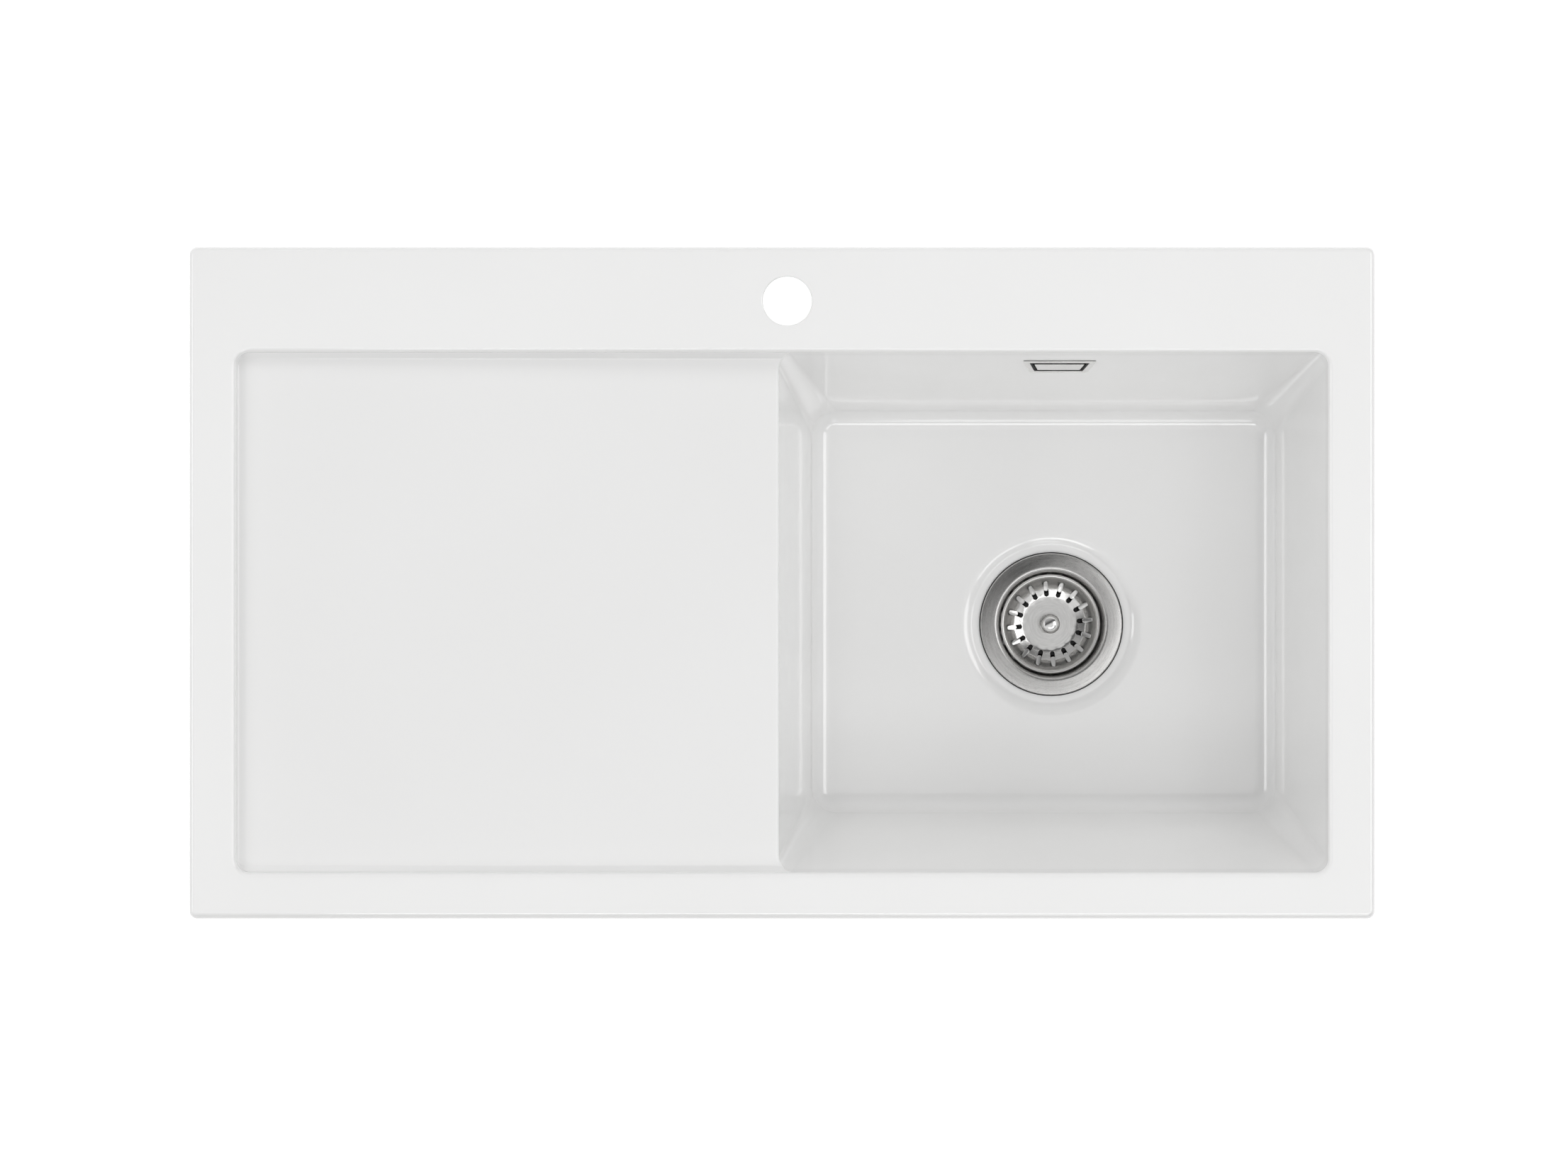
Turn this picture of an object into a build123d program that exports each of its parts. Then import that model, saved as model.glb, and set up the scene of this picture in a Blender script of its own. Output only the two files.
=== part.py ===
from build123d import *
import os
from math import atan2, cos, hypot, sin, tan

# White ceramic inset sink: drainer on the left, bowl on the right, basket strainer and overflow.
# Millimetres. Origin at the centre of the rim's underside, +X right, +Y to the tap ledge, +Z up.

# Ceramic, seen from above
SINK_LENGTH = 900.0
SINK_WIDTH = 510.0
PLAN_CORNER_R = 6.0
SIDE_RIM = 35.5  # rim on the left, the right and in front of the recess
TAP_LEDGE = 80.0  # rim behind the recess
RECESS_CORNER_R = 10.5
BOWL_LENGTH = 418.0  # bowl's mouth, from the drainer's edge to the right rim
SEAT_WIDTH = 18.0  # strip of the rim's underside that rests on the worktop
UNDER_CORNER_R = 14.0

# Ceramic, heights and walls
RIM_HEIGHT = 12.0
RIM_EDGE_R = 4.0
RECESS_STEP = 4.5  # upright edge all round the recess
RECESS_EDGE_R = 4.0
DRAINER_DEPTH_END = 7.0  # below the rim at the left end
DRAINER_DEPTH_BOWL = 10.0  # below the rim beside the bowl
DRAINER_WALL_RUN = 4.5  # slope of the drainer's long walls, seen from above
DRAINER_END_RUN = 1.0
DRAINER_FILLET_R = 2.0
DIVIDER_R = 2.0  # edge between the drainer and the bowl
DRAINER_THICKNESS = 12.0
BOWL_DEPTH = 190.0
SIDE_WALL_RUN = 28.5  # slope of the bowl's left and right walls, seen from above
LONG_WALL_RUN = 42.0  # slope of its front and back walls
WALL = 12.0
FLOOR_THICKNESS = 14.0
FLOOR_CORNER_R = 20.0
FLOOR_FILLET_R = 16.0
OUTER_FLOOR_R = 24.0
RIB_COUNT = 5
RIB_WIDTH = 14.0
RIB_HEIGHT = 8.0
RIB_INSET = 20.0  # from the drainer's left end and from the bowl's outer wall

# Holes in the ceramic
TAP_HOLE_R = 18.5
TAP_HOLE_X = 4.0
TAP_HOLE_BACK = 41.0  # from the back edge
TAP_HOLE_LIP_R = 1.5
DRAIN_OFFSET_X = 6.5  # from the middle of the bowl's mouth
DRAIN_OFFSET_Y = -10.0
DRAIN_HOLE_R = 45.0
DISH_MARGIN = 9.75  # shallow dish round the flange
DISH_DEPTH = 3.0
DISH_EDGE_R = 1.5
CUT_SPARE = 8.0  # overrun of a cut that goes right through

# Strainer cup, 3 1/2 inch size
SHEET = 1.0  # cup's steel
FLANGE_R = 56.25
CUP_GAP = 2.5  # between the cup and the drain hole
CUP_LEDGE = 1.8  # step in the cup's wall
CUP_LEDGE_DEPTH = 13.0
CUP_SEAT_TOP = 36.0  # depth where the sealing cone starts
CUP_SEAT_DROP = 5.0
CUP_SUMP_R = 24.5  # inner end of the sealing cone
CUP_DEPTH = 54.0
CUP_MOUTH_R = 3.0
CUP_BEND_R = 1.5
CUP_HOLES = 8
CUP_HOLE_R = 4.5
CUP_HOLE_CIRCLE_R = 17.0
FLANGE_SEAL = 1.5
FLANGE_SEAL_WIDTH = 8.0
BODY_GASKET = 4.0

# Basket, with its knob, stem and seal
BASKET_SHEET = 0.8
BASKET_RIM_R = 39.2
BASKET_RIM_WIDTH = 1.8
BASKET_HEIGHT = 23.0
BASKET_SHOULDER_R = 30.0
BASKET_SHOULDER_RISE = 3.0
BASKET_FLOOR_R = 21.5
BASKET_BEND_R = 1.6
SLOT_COUNT = 16
SLOT_WIDTH = 3.7
SLOT_START_R = 21.8
SLOT_END_R = 34.3
SLOT_PHASE = 5.6  # degrees from +X
KNOB_R = 7.5
KNOB_HEIGHT = 24.0
KNOB_NECK_R = 4.0
KNOB_BASE_R = 8.0
KNOB_BASE_HEIGHT = 1.6
KNOB_SOCKET = 12.0
STEM_R = 3.0
STEM_REACH = 15.0  # below the clamp screw's top when the basket is down
STEM_TIP_CHAMFER = 1.0
STEM_FIT = 0.05
SEAL_THICKNESS = 3.0
SEAL_GAP = 0.3  # between the seal and the cup's cone
SEAL_WASHER_R = 12.0
SEAL_WASHER = 1.0
STEM_NUT_R = 5.0  # to its flats
STEM_NUT = 3.5
NUT_GAP = 1.0  # above the clamp screw

# Clamp screw, its washer and clip, and the brass insert
SCREW_R = 6.0
SCREW_HEAD_R = 9.0  # to its flats
SCREW_HEAD = 6.5
SCREW_BORE_R = 3.4
SCREW_BORE_SPARE = 3.0  # below the stem's tip
SCREW_WASHER = 1.5
SCREW_WASHER_R = 10.5
SCREW_CLEARANCE = 0.3
SCREW_FIT = 0.05
SCREW_TIP = 2.0  # screw standing out of the insert
CLIP_DEPTH = 2.5  # below the screw's top
CLIP_HEIGHT = 1.2
CLIP_WIDTH = 0.9
CLIP_CLEARANCE = 0.2
CLIP_OPENING = 1.5
INSERT_WALL = 2.0
INSERT_LENGTH = 14.0

# Plastic waste body, with a 1 1/2 inch pipe thread at its outlet
BODY_WALL = 3.0
BODY_GAP = 4.0  # round the cup
BODY_FLANGE_R = 57.0
BODY_FLANGE = 4.0
HUB_GAP = 1.5  # under the cup
HUB_WALL = 3.0
HUB_SPOKES = 4
BODY_CONE = 20.0
OUTLET_R = 23.9
OUTLET_BORE_R = 19.5
OUTLET_LENGTH = 24.0
THREAD_PITCH = 2.309
THREAD_DEPTH = 1.2
THREAD_LAND = 0.5
THREAD_TURNS = 8

# Overflow cover on the bowl's back wall
OVERFLOW_DEPTH = 44.0  # rim to the cover's middle
COVER_TOP = 56.0
COVER_BOTTOM = 44.0
COVER_HEIGHT = 33.0
COVER_CORNER_R = 1.5
COVER_FRAME = 4.2
COVER_GAP = 3.0
BEZEL_THICKNESS = 1.2
BEZEL_EDGE_R = 0.5
BAR_WIDTH = 10.0
BAR_THICKNESS = 2.0
BAR_END = 2.0  # ends of the bar, turned up to the bezel
BAR_FIT = 0.3  # between the bar and the wall hole
BAR_GAP = 0.2  # between the bar and the plate
PLATE_THICKNESS = 1.2
PLATE_PROUD = 0.2
LEG_WIDTH = 5.0
LEG_THICKNESS = 1.2
LEG_SPACING = 14.0
LEG_CLEARANCE = 0.15
LEG_TIP = 0.4  # leg standing out behind the bar
FRONT_GASKET = 0.4
REAR_GASKET = 2.0
WALL_HOLE_MARGIN = 1.0  # wall hole larger than the bezel's opening
OVERFLOW_SCREW_R = 2.0
OVERFLOW_SCREW_LENGTH = 18.0
OVERFLOW_SCREW_HEAD_R = 4.0
COUNTERSINK_ANGLE = 90
OVERFLOW_BOSS_R = 4.5
DRIVE_R = 1.3
DRIVE_DEPTH = 1.2

# Overflow housing and pipe
HOUSING_WALL = 2.0
HOUSING_LAP = 8.0  # flange beyond the wall hole
HOUSING_FLANGE = 3.0
HOUSING_DEPTH = 36.0
NECK_CLEARANCE = 0.5
PIPE_R = 12.5
PIPE_WALL = 1.8
PIPE_CLEARANCE = 0.15
PIPE_BEND_R = 48.0
PIPE_INSERT = 12.0
SPIGOT_R = 16.5
SPIGOT_LENGTH = 16.0
INLET_DEPTH = 46.0  # below the strainer's flange
NUT_WALL = 4.0
NUT_END = 3.0
NUT_LENGTH = 18.0
NUT_RIBS = 12
NUT_RIB_R = 1.6
PIPE_SEAL = 5.0

# Ceramic, worked out
recess_left = SIDE_RIM - SINK_LENGTH / 2
recess_right = SINK_LENGTH / 2 - SIDE_RIM
recess_front = SIDE_RIM - SINK_WIDTH / 2
recess_back = SINK_WIDTH / 2 - TAP_LEDGE
recess_length = recess_right - recess_left
bowl_width = recess_back - recess_front
recess_y = (recess_back + recess_front) / 2
divider_x = recess_right - BOWL_LENGTH
bowl_x = recess_right - BOWL_LENGTH / 2
step_z = RIM_HEIGHT - RECESS_STEP
floor_z = RIM_HEIGHT - BOWL_DEPTH
underside_z = floor_z - FLOOR_THICKNESS
drainer_under_z = RIM_HEIGHT - DRAINER_DEPTH_BOWL - DRAINER_THICKNESS
side_slope = SIDE_WALL_RUN / (BOWL_DEPTH - RECESS_STEP)
long_slope = LONG_WALL_RUN / (BOWL_DEPTH - RECESS_STEP)
lean = atan2(LONG_WALL_RUN, BOWL_DEPTH - RECESS_STEP)  # of the back wall, from upright
wall_normal = WALL * cos(lean)  # bowl wall, square to its face
divider_edge = (divider_x, recess_y, RIM_HEIGHT - DRAINER_DEPTH_BOWL)
drain_x = bowl_x + DRAIN_OFFSET_X
drain_y = recess_y + DRAIN_OFFSET_Y

# Strainer and waste, worked out
flange_z = floor_z - DISH_DEPTH + FLANGE_SEAL + SHEET / 2  # middle of the flange's steel
drain_section = Plane((drain_x, drain_y, flange_z), x_dir=(1, 0, 0), z_dir=(0, -1, 0))
drain_axis = Axis((drain_x, drain_y, 0), (0, 0, 1))
cup_r = DRAIN_HOLE_R - CUP_GAP - SHEET / 2
cup_floor_top = flange_z - CUP_DEPTH + SHEET / 2
screw_head_z = cup_floor_top + SCREW_WASHER
screw_top = screw_head_z + SCREW_HEAD
stem_nut_z = screw_top + NUT_GAP
seal_washer_z = stem_nut_z + STEM_NUT
seal_z = seal_washer_z + SEAL_WASHER
basket_floor_z = seal_z + SEAL_THICKNESS
basket_top = basket_floor_z + BASKET_SHEET
hub_top = cup_floor_top - SHEET - HUB_GAP
insert_r = SCREW_R + INSERT_WALL
hub_r = insert_r + HUB_WALL
body_top = underside_z - BODY_GASKET
body_r = cup_r + BODY_GAP
cone_top = hub_top - INSERT_LENGTH
outlet_top = cone_top - BODY_CONE
outlet_z = outlet_top - OUTLET_LENGTH
inlet_z = flange_z - INLET_DEPTH

# Overflow, worked out: planes on the bowl's back wall, facing into the bowl
cover_y = recess_back - (OVERFLOW_DEPTH - RECESS_STEP) * long_slope
cover_wall = Plane(
    (drain_x, cover_y, RIM_HEIGHT - OVERFLOW_DEPTH), x_dir=(1, 0, 0), z_dir=(0, -cos(lean), sin(lean))
)
bezel_back = cover_wall.offset(FRONT_GASKET)
plate_back = FRONT_GASKET + BEZEL_THICKNESS + PLATE_PROUD - PLATE_THICKNESS
bar_front = plate_back - BAR_GAP
bar_back = bar_front - BAR_THICKNESS
neck_front = bar_back - NECK_CLEARANCE
housing_face = cover_wall.offset(-wall_normal - REAR_GASKET)
wall_hole_inset = COVER_FRAME - WALL_HOLE_MARGIN
bar_length = COVER_HEIGHT - 2 * (wall_hole_inset + BAR_FIT)
neck_inset = wall_hole_inset + NECK_CLEARANCE
pipe_back = wall_normal + REAR_GASKET + (HOUSING_DEPTH - HOUSING_WALL) / 2
pipe_y = cover_y + pipe_back * cos(lean)
inlet_mouth_y = drain_y + body_r + BODY_WALL + SPIGOT_LENGTH
spigot_z = RIM_HEIGHT - OVERFLOW_DEPTH - pipe_back * sin(lean) - COVER_HEIGHT / 2 - SPIGOT_LENGTH
BASE = (Align.CENTER, Align.CENTER, Align.MIN)


def bowl_block(top_depth, bottom_depth, grow, top_corner_r, bottom_corner_r, bottom_r):
    """The bowl's tapered block between two depths below the rim, grown by a wall."""
    with BuildPart() as block:
        for depth, corner_r in ((top_depth, top_corner_r), (bottom_depth, bottom_corner_r)):
            length = BOWL_LENGTH + 2 * (grow - side_slope * (depth - RECESS_STEP))
            width = bowl_width + 2 * (grow - long_slope * (depth - RECESS_STEP))
            with BuildSketch(Plane((bowl_x, recess_y, RIM_HEIGHT - depth))):
                RectangleRounded(length, width, corner_r)
        loft(ruled=True)
        fillet(block.faces().sort_by(Axis.Z)[0].edges(), bottom_r)
    return block.part


def drainer_block():
    """The drainer's hollow below the recess edge; its floor falls towards the bowl."""
    overlap = 2 * RECESS_CORNER_R  # reaches into the bowl, past its rounded corners
    length = divider_x + overlap - recess_left
    fall = atan2(DRAINER_DEPTH_BOWL - DRAINER_DEPTH_END, divider_x - recess_left)
    middle_x = (recess_left + DRAINER_END_RUN + divider_x + overlap) / 2
    middle_depth = DRAINER_DEPTH_END + tan(fall) * (middle_x - recess_left)
    floor_plane = Plane(
        (middle_x, recess_y, RIM_HEIGHT - middle_depth),
        x_dir=(cos(fall), 0, -sin(fall)),
        z_dir=(sin(fall), 0, cos(fall)),
    )
    with BuildPart() as block:
        with BuildSketch(Plane((recess_left + length / 2, recess_y, step_z))):
            RectangleRounded(length, bowl_width, RECESS_CORNER_R)
        with BuildSketch(floor_plane):
            RectangleRounded(
                (length - DRAINER_END_RUN) / cos(fall),
                bowl_width - 2 * DRAINER_WALL_RUN,
                RECESS_CORNER_R - DRAINER_WALL_RUN,
            )
        loft(ruled=True)
        fillet(block.faces().sort_by(Axis.Z)[0].edges(), DRAINER_FILLET_R)
    return block.part


def cover_points(inset):
    """Corners of the overflow cover's trapezoid, set in from its outer edge."""
    slope = (COVER_TOP - COVER_BOTTOM) / 2 / COVER_HEIGHT
    side = hypot(1, slope) * inset
    half = COVER_HEIGHT / 2 - inset
    middle = (COVER_TOP + COVER_BOTTOM) / 4
    top = middle + slope * half - side
    bottom = middle - slope * half - side
    return [(-bottom, -half), (bottom, -half), (top, half), (-top, half)]


def cover_slab(plane, inset, amount, hole_inset=None):
    """A trapezoid plate or frame of the overflow, standing on a plane of the wall."""
    with BuildPart() as slab:
        with BuildSketch(plane):
            Polygon(*cover_points(inset), align=None)
            fillet(vertices(), COVER_CORNER_R)
            if hole_inset is not None:
                with BuildSketch(plane, mode=Mode.PRIVATE) as hole:
                    Polygon(*cover_points(hole_inset), align=None)
                    fillet(vertices(), COVER_CORNER_R)
                add(hole.sketch_local, mode=Mode.SUBTRACT)
        extrude(amount=amount)
    return slab.part


def thread_points(crest_r, z_end, turns):
    """Outline points of a row of thread ridges, from the end of a tube upwards."""
    points = []
    for turn in range(turns):
        start = z_end + turn * THREAD_PITCH
        flank = (THREAD_PITCH - 2 * THREAD_LAND) / 2
        points.append((crest_r, start))
        points.append((crest_r, start + THREAD_LAND))
        points.append((crest_r - THREAD_DEPTH, start + THREAD_LAND + flank))
        points.append((crest_r - THREAD_DEPTH, start + 2 * THREAD_LAND + flank))
    return points


def pipe_nut(mouth):
    """A union nut on a spigot; the plane's origin is the spigot's mouth, its normal points outwards."""
    end = mouth.offset(PIPE_SEAL + NUT_END)
    bore_r = SPIGOT_R + PIPE_CLEARANCE
    with BuildPart() as nut:
        with BuildSketch(end):
            Circle(bore_r + NUT_WALL)
            with PolarLocations(bore_r + NUT_WALL, NUT_RIBS):
                Circle(NUT_RIB_R)
        extrude(amount=-NUT_LENGTH)
        with BuildSketch(mouth.offset(PIPE_SEAL)):
            Circle(bore_r)
        extrude(amount=-NUT_LENGTH, mode=Mode.SUBTRACT)
        with BuildSketch(end):
            Circle(PIPE_R + PIPE_CLEARANCE)
        extrude(amount=-NUT_LENGTH, mode=Mode.SUBTRACT)
    return nut.part


def pipe_seal(mouth):
    """The rubber ring between a spigot's mouth and its union nut."""
    with BuildPart() as ring:
        with BuildSketch(mouth):
            Circle(SPIGOT_R)
            Circle(PIPE_R + PIPE_CLEARANCE, mode=Mode.SUBTRACT)
        extrude(amount=PIPE_SEAL)
    return ring.part


def circle_at(part, radius, height):
    """The part's round edge of one radius that lies nearest to a height."""
    circles = part.edges().filter_by(GeomType.CIRCLE)
    same_size = circles.filter_by(lambda edge: abs(edge.radius - radius) < 0.01)
    return same_size.sort_by(lambda edge: abs(edge.center().Z - height))[0]


def write(part, name):
    """Labels a finished piece and writes its STEP file."""
    part.label = name
    export_step(part, f"parts/{name}.step")


os.makedirs("parts", exist_ok=True)

# Ceramic body
with BuildPart() as sink_body:
    with BuildSketch(Plane.XY):
        RectangleRounded(SINK_LENGTH, SINK_WIDTH, PLAN_CORNER_R)
    extrude(amount=RIM_HEIGHT)
    fillet(sink_body.faces().sort_by(Axis.Z)[-1].edges(), RIM_EDGE_R)
    with BuildSketch(Plane.XY):
        RectangleRounded(SINK_LENGTH - 2 * SEAT_WIDTH, SINK_WIDTH - 2 * SEAT_WIDTH, UNDER_CORNER_R)
    extrude(amount=drainer_under_z)
    rib_left = recess_left + RIB_INSET
    rib_right = divider_x - WALL - RIB_INSET
    with BuildSketch(Plane(((rib_left + rib_right) / 2, recess_y, drainer_under_z))):
        with GridLocations(0, bowl_width / RIB_COUNT, 1, RIB_COUNT):
            SlotOverall(rib_right - rib_left, RIB_WIDTH)
    extrude(amount=-RIB_HEIGHT)
    add(
        bowl_block(
            RIM_HEIGHT,
            BOWL_DEPTH + FLOOR_THICKNESS,
            WALL,
            RECESS_CORNER_R + WALL,
            FLOOR_CORNER_R + WALL,
            OUTER_FLOOR_R,
        )
    )
    with BuildSketch(Plane((0, recess_y, RIM_HEIGHT))):
        RectangleRounded(recess_length, bowl_width, RECESS_CORNER_R)
    extrude(amount=-RECESS_STEP, mode=Mode.SUBTRACT)
    rim_top = sink_body.faces().filter_by(Axis.Z).sort_by(Axis.Z)[-1]
    fillet(rim_top.inner_wires()[0].edges(), RECESS_EDGE_R)
    add(drainer_block(), mode=Mode.SUBTRACT)
    add(
        bowl_block(RECESS_STEP, BOWL_DEPTH, 0, RECESS_CORNER_R, FLOOR_CORNER_R, FLOOR_FILLET_R),
        mode=Mode.SUBTRACT,
    )
    fillet(sink_body.edges().sort_by_distance(divider_edge)[0], DIVIDER_R)
    with Locations((drain_x, drain_y, floor_z)):
        CounterBoreHole(DRAIN_HOLE_R, FLANGE_R + DISH_MARGIN, DISH_DEPTH)
    fillet(circle_at(sink_body, FLANGE_R + DISH_MARGIN, floor_z), DISH_EDGE_R)
    with Locations((TAP_HOLE_X, SINK_WIDTH / 2 - TAP_HOLE_BACK, RIM_HEIGHT)):
        Hole(TAP_HOLE_R)
    fillet(circle_at(sink_body, TAP_HOLE_R, RIM_HEIGHT), TAP_HOLE_LIP_R)
    add(
        cover_slab(cover_wall.offset(CUT_SPARE), wall_hole_inset, -WALL - 2 * CUT_SPARE),
        mode=Mode.SUBTRACT,
    )
write(sink_body.part, "sink_body")

# Strainer cup: flange, ledge, sealing cone and drilled floor in one pressed sheet
cup_wall_r = cup_r - CUP_LEDGE
cup_bends = [CUP_MOUTH_R] + [CUP_BEND_R] * 5
with BuildPart() as strainer_cup:
    with BuildSketch(drain_section):
        with BuildLine():
            FilletPolyline(
                (FLANGE_R, 0),
                (cup_r, 0),
                (cup_r, -CUP_LEDGE_DEPTH),
                (cup_wall_r, -CUP_LEDGE_DEPTH - CUP_LEDGE),
                (cup_wall_r, -CUP_SEAT_TOP),
                (CUP_SUMP_R, -CUP_SEAT_TOP - CUP_SEAT_DROP),
                (CUP_SUMP_R, -CUP_DEPTH),
                (SCREW_R + SCREW_CLEARANCE, -CUP_DEPTH),
                radius=cup_bends,
            )
        trace(line_width=SHEET)
    revolve(axis=drain_axis)
    with BuildSketch(Plane((drain_x, drain_y, cup_floor_top + CUT_SPARE))):
        with PolarLocations(CUP_HOLE_CIRCLE_R, CUP_HOLES):
            Circle(CUP_HOLE_R)
    extrude(amount=-SHEET - 2 * CUT_SPARE, mode=Mode.SUBTRACT)
write(strainer_cup.part, "strainer_cup")

# Rubber ring between the flange and the ceramic dish
with BuildPart() as flange_seal:
    with BuildSketch(Plane((drain_x, drain_y, floor_z - DISH_DEPTH))):
        Circle(FLANGE_R - SHEET)
        Circle(FLANGE_R - SHEET - FLANGE_SEAL_WIDTH, mode=Mode.SUBTRACT)
    extrude(amount=FLANGE_SEAL)
write(flange_seal.part, "flange_seal")

# Rubber ring between the ceramic's underside and the waste body
with BuildPart() as body_gasket:
    with BuildSketch(Plane((drain_x, drain_y, body_top))):
        Circle(BODY_FLANGE_R)
        Circle(body_r, mode=Mode.SUBTRACT)
    extrude(amount=BODY_GASKET)
write(body_gasket.part, "body_gasket")

# Waste body: flanged barrel with a hub on spokes, a threaded outlet and the overflow's inlet
inlet_mouth = Plane((drain_x, inlet_mouth_y, inlet_z), x_dir=(1, 0, 0), z_dir=(0, 1, 0))
barrel_r = body_r + BODY_WALL
with BuildPart() as waste_body:
    with BuildSketch(Plane((drain_x, drain_y, 0), x_dir=(1, 0, 0), z_dir=(0, -1, 0))):
        with BuildLine():
            Polyline(
                (0, outlet_z),
                *thread_points(OUTLET_R, outlet_z, THREAD_TURNS),
                (OUTLET_R - THREAD_DEPTH, outlet_top),
                (barrel_r, cone_top),
                (barrel_r, body_top - BODY_FLANGE),
                (BODY_FLANGE_R, body_top - BODY_FLANGE),
                (BODY_FLANGE_R, body_top),
                (0, body_top),
                close=True,
            )
        make_face()
    revolve(axis=drain_axis)
    with BuildSketch(inlet_mouth):
        Circle(SPIGOT_R)
    extrude(amount=drain_y - inlet_mouth_y)
    with BuildSketch(Plane((drain_x, drain_y, 0), x_dir=(1, 0, 0), z_dir=(0, -1, 0))):
        with BuildLine():
            Polyline(
                (0, outlet_z),
                (OUTLET_BORE_R, outlet_z),
                (OUTLET_BORE_R, outlet_top),
                (body_r, cone_top),
                (body_r, body_top),
                (0, body_top),
                close=True,
            )
        make_face()
    revolve(axis=drain_axis, mode=Mode.SUBTRACT)
    with BuildSketch(inlet_mouth):
        Circle(PIPE_R + PIPE_CLEARANCE)
    extrude(amount=drain_y - inlet_mouth_y, mode=Mode.SUBTRACT)
    with BuildSketch(Plane((drain_x, drain_y, hub_top))):
        with PolarLocations((body_r + BODY_WALL / 2) / 2, HUB_SPOKES):
            Rectangle(body_r + BODY_WALL / 2, BODY_WALL)
        Circle(hub_r)
        Circle(insert_r, mode=Mode.SUBTRACT)
    extrude(amount=-INSERT_LENGTH)
write(waste_body.part, "waste_body")

# Brass insert that the clamp screw goes into
with BuildPart() as screw_insert:
    with BuildSketch(Plane((drain_x, drain_y, hub_top))):
        Circle(insert_r)
        Circle(SCREW_R + SCREW_FIT, mode=Mode.SUBTRACT)
    extrude(amount=-INSERT_LENGTH)
write(screw_insert.part, "screw_insert")

# Sealing washer under the clamp screw's head
with BuildPart() as screw_washer:
    with BuildSketch(Plane((drain_x, drain_y, cup_floor_top))):
        Circle(SCREW_WASHER_R)
        Circle(SCREW_R + SCREW_CLEARANCE, mode=Mode.SUBTRACT)
    extrude(amount=SCREW_WASHER)
write(screw_washer.part, "screw_washer")

# Clamp screw, hollow for the basket's stem, with a groove for the clip
clip_r = STEM_R + CLIP_CLEARANCE + CLIP_WIDTH
clip_z = screw_top - CLIP_DEPTH - CLIP_HEIGHT
with BuildPart() as clamp_screw:
    with BuildSketch(Plane((drain_x, drain_y, screw_head_z))):
        RegularPolygon(SCREW_HEAD_R, 6, major_radius=False)
    extrude(amount=SCREW_HEAD)
    with BuildSketch(Plane((drain_x, drain_y, screw_head_z))):
        Circle(SCREW_R)
    extrude(amount=hub_top - INSERT_LENGTH - SCREW_TIP - screw_head_z)
    with BuildSketch(Plane((drain_x, drain_y, screw_top))):
        Circle(SCREW_BORE_R)
    extrude(amount=-STEM_REACH - SCREW_BORE_SPARE, mode=Mode.SUBTRACT)
    with BuildSketch(Plane((drain_x, drain_y, clip_z - CLIP_CLEARANCE))):
        Circle(clip_r + CLIP_CLEARANCE)
    extrude(amount=CLIP_HEIGHT + 2 * CLIP_CLEARANCE, mode=Mode.SUBTRACT)
write(clamp_screw.part, "clamp_screw")

# Open ring in that groove, round the basket's stem
with BuildPart() as stem_clip:
    with BuildSketch(Plane((drain_x, drain_y, clip_z))):
        Circle(clip_r)
        Circle(STEM_R + CLIP_CLEARANCE, mode=Mode.SUBTRACT)
        with Locations((clip_r, 0)):
            Rectangle(clip_r, CLIP_OPENING, mode=Mode.SUBTRACT)
    extrude(amount=CLIP_HEIGHT)
write(stem_clip.part, "stem_clip")

# Basket: pressed sheet with slots from its floor up its wall
basket_mid = basket_floor_z + BASKET_SHEET / 2 - flange_z
with BuildPart() as strainer_basket:
    with BuildSketch(drain_section):
        with BuildLine():
            FilletPolyline(
                (STEM_R + STEM_FIT, basket_mid),
                (BASKET_FLOOR_R, basket_mid),
                (BASKET_SHOULDER_R, basket_mid + BASKET_SHOULDER_RISE),
                (BASKET_RIM_R - BASKET_RIM_WIDTH, basket_mid + BASKET_HEIGHT),
                (BASKET_RIM_R, basket_mid + BASKET_HEIGHT),
                radius=[BASKET_BEND_R, BASKET_BEND_R, BASKET_SHEET],
            )
        trace(line_width=BASKET_SHEET)
    revolve(axis=drain_axis)
    with BuildSketch(Plane((drain_x, drain_y, basket_floor_z - BASKET_SHEET))):
        with PolarLocations((SLOT_START_R + SLOT_END_R) / 2, SLOT_COUNT, start_angle=SLOT_PHASE):
            SlotOverall(SLOT_END_R - SLOT_START_R, SLOT_WIDTH)
    extrude(amount=BASKET_HEIGHT, mode=Mode.SUBTRACT)
write(strainer_basket.part, "strainer_basket")

# Ball knob on the basket's floor
with BuildPart(Plane((drain_x, drain_y, basket_top))) as basket_knob:
    Cylinder(KNOB_BASE_R, KNOB_BASE_HEIGHT, align=BASE)
    Cylinder(KNOB_NECK_R, KNOB_HEIGHT - KNOB_R, align=BASE)
    with Locations((0, 0, KNOB_HEIGHT - KNOB_R)):
        Sphere(KNOB_R)
    Cylinder(STEM_R + STEM_FIT, KNOB_SOCKET, align=BASE, mode=Mode.SUBTRACT)
write(basket_knob.part, "basket_knob")

# Stem from the knob's socket down into the clamp screw
stem_tip = screw_top - STEM_REACH
with BuildPart() as basket_stem:
    with BuildSketch(Plane((drain_x, drain_y, stem_tip))):
        Circle(STEM_R)
    extrude(amount=basket_top + KNOB_SOCKET - stem_tip)
    chamfer(basket_stem.edges().filter_by(GeomType.CIRCLE).sort_by(Axis.Z)[0], STEM_TIP_CHAMFER)
write(basket_stem.part, "basket_stem")

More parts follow.
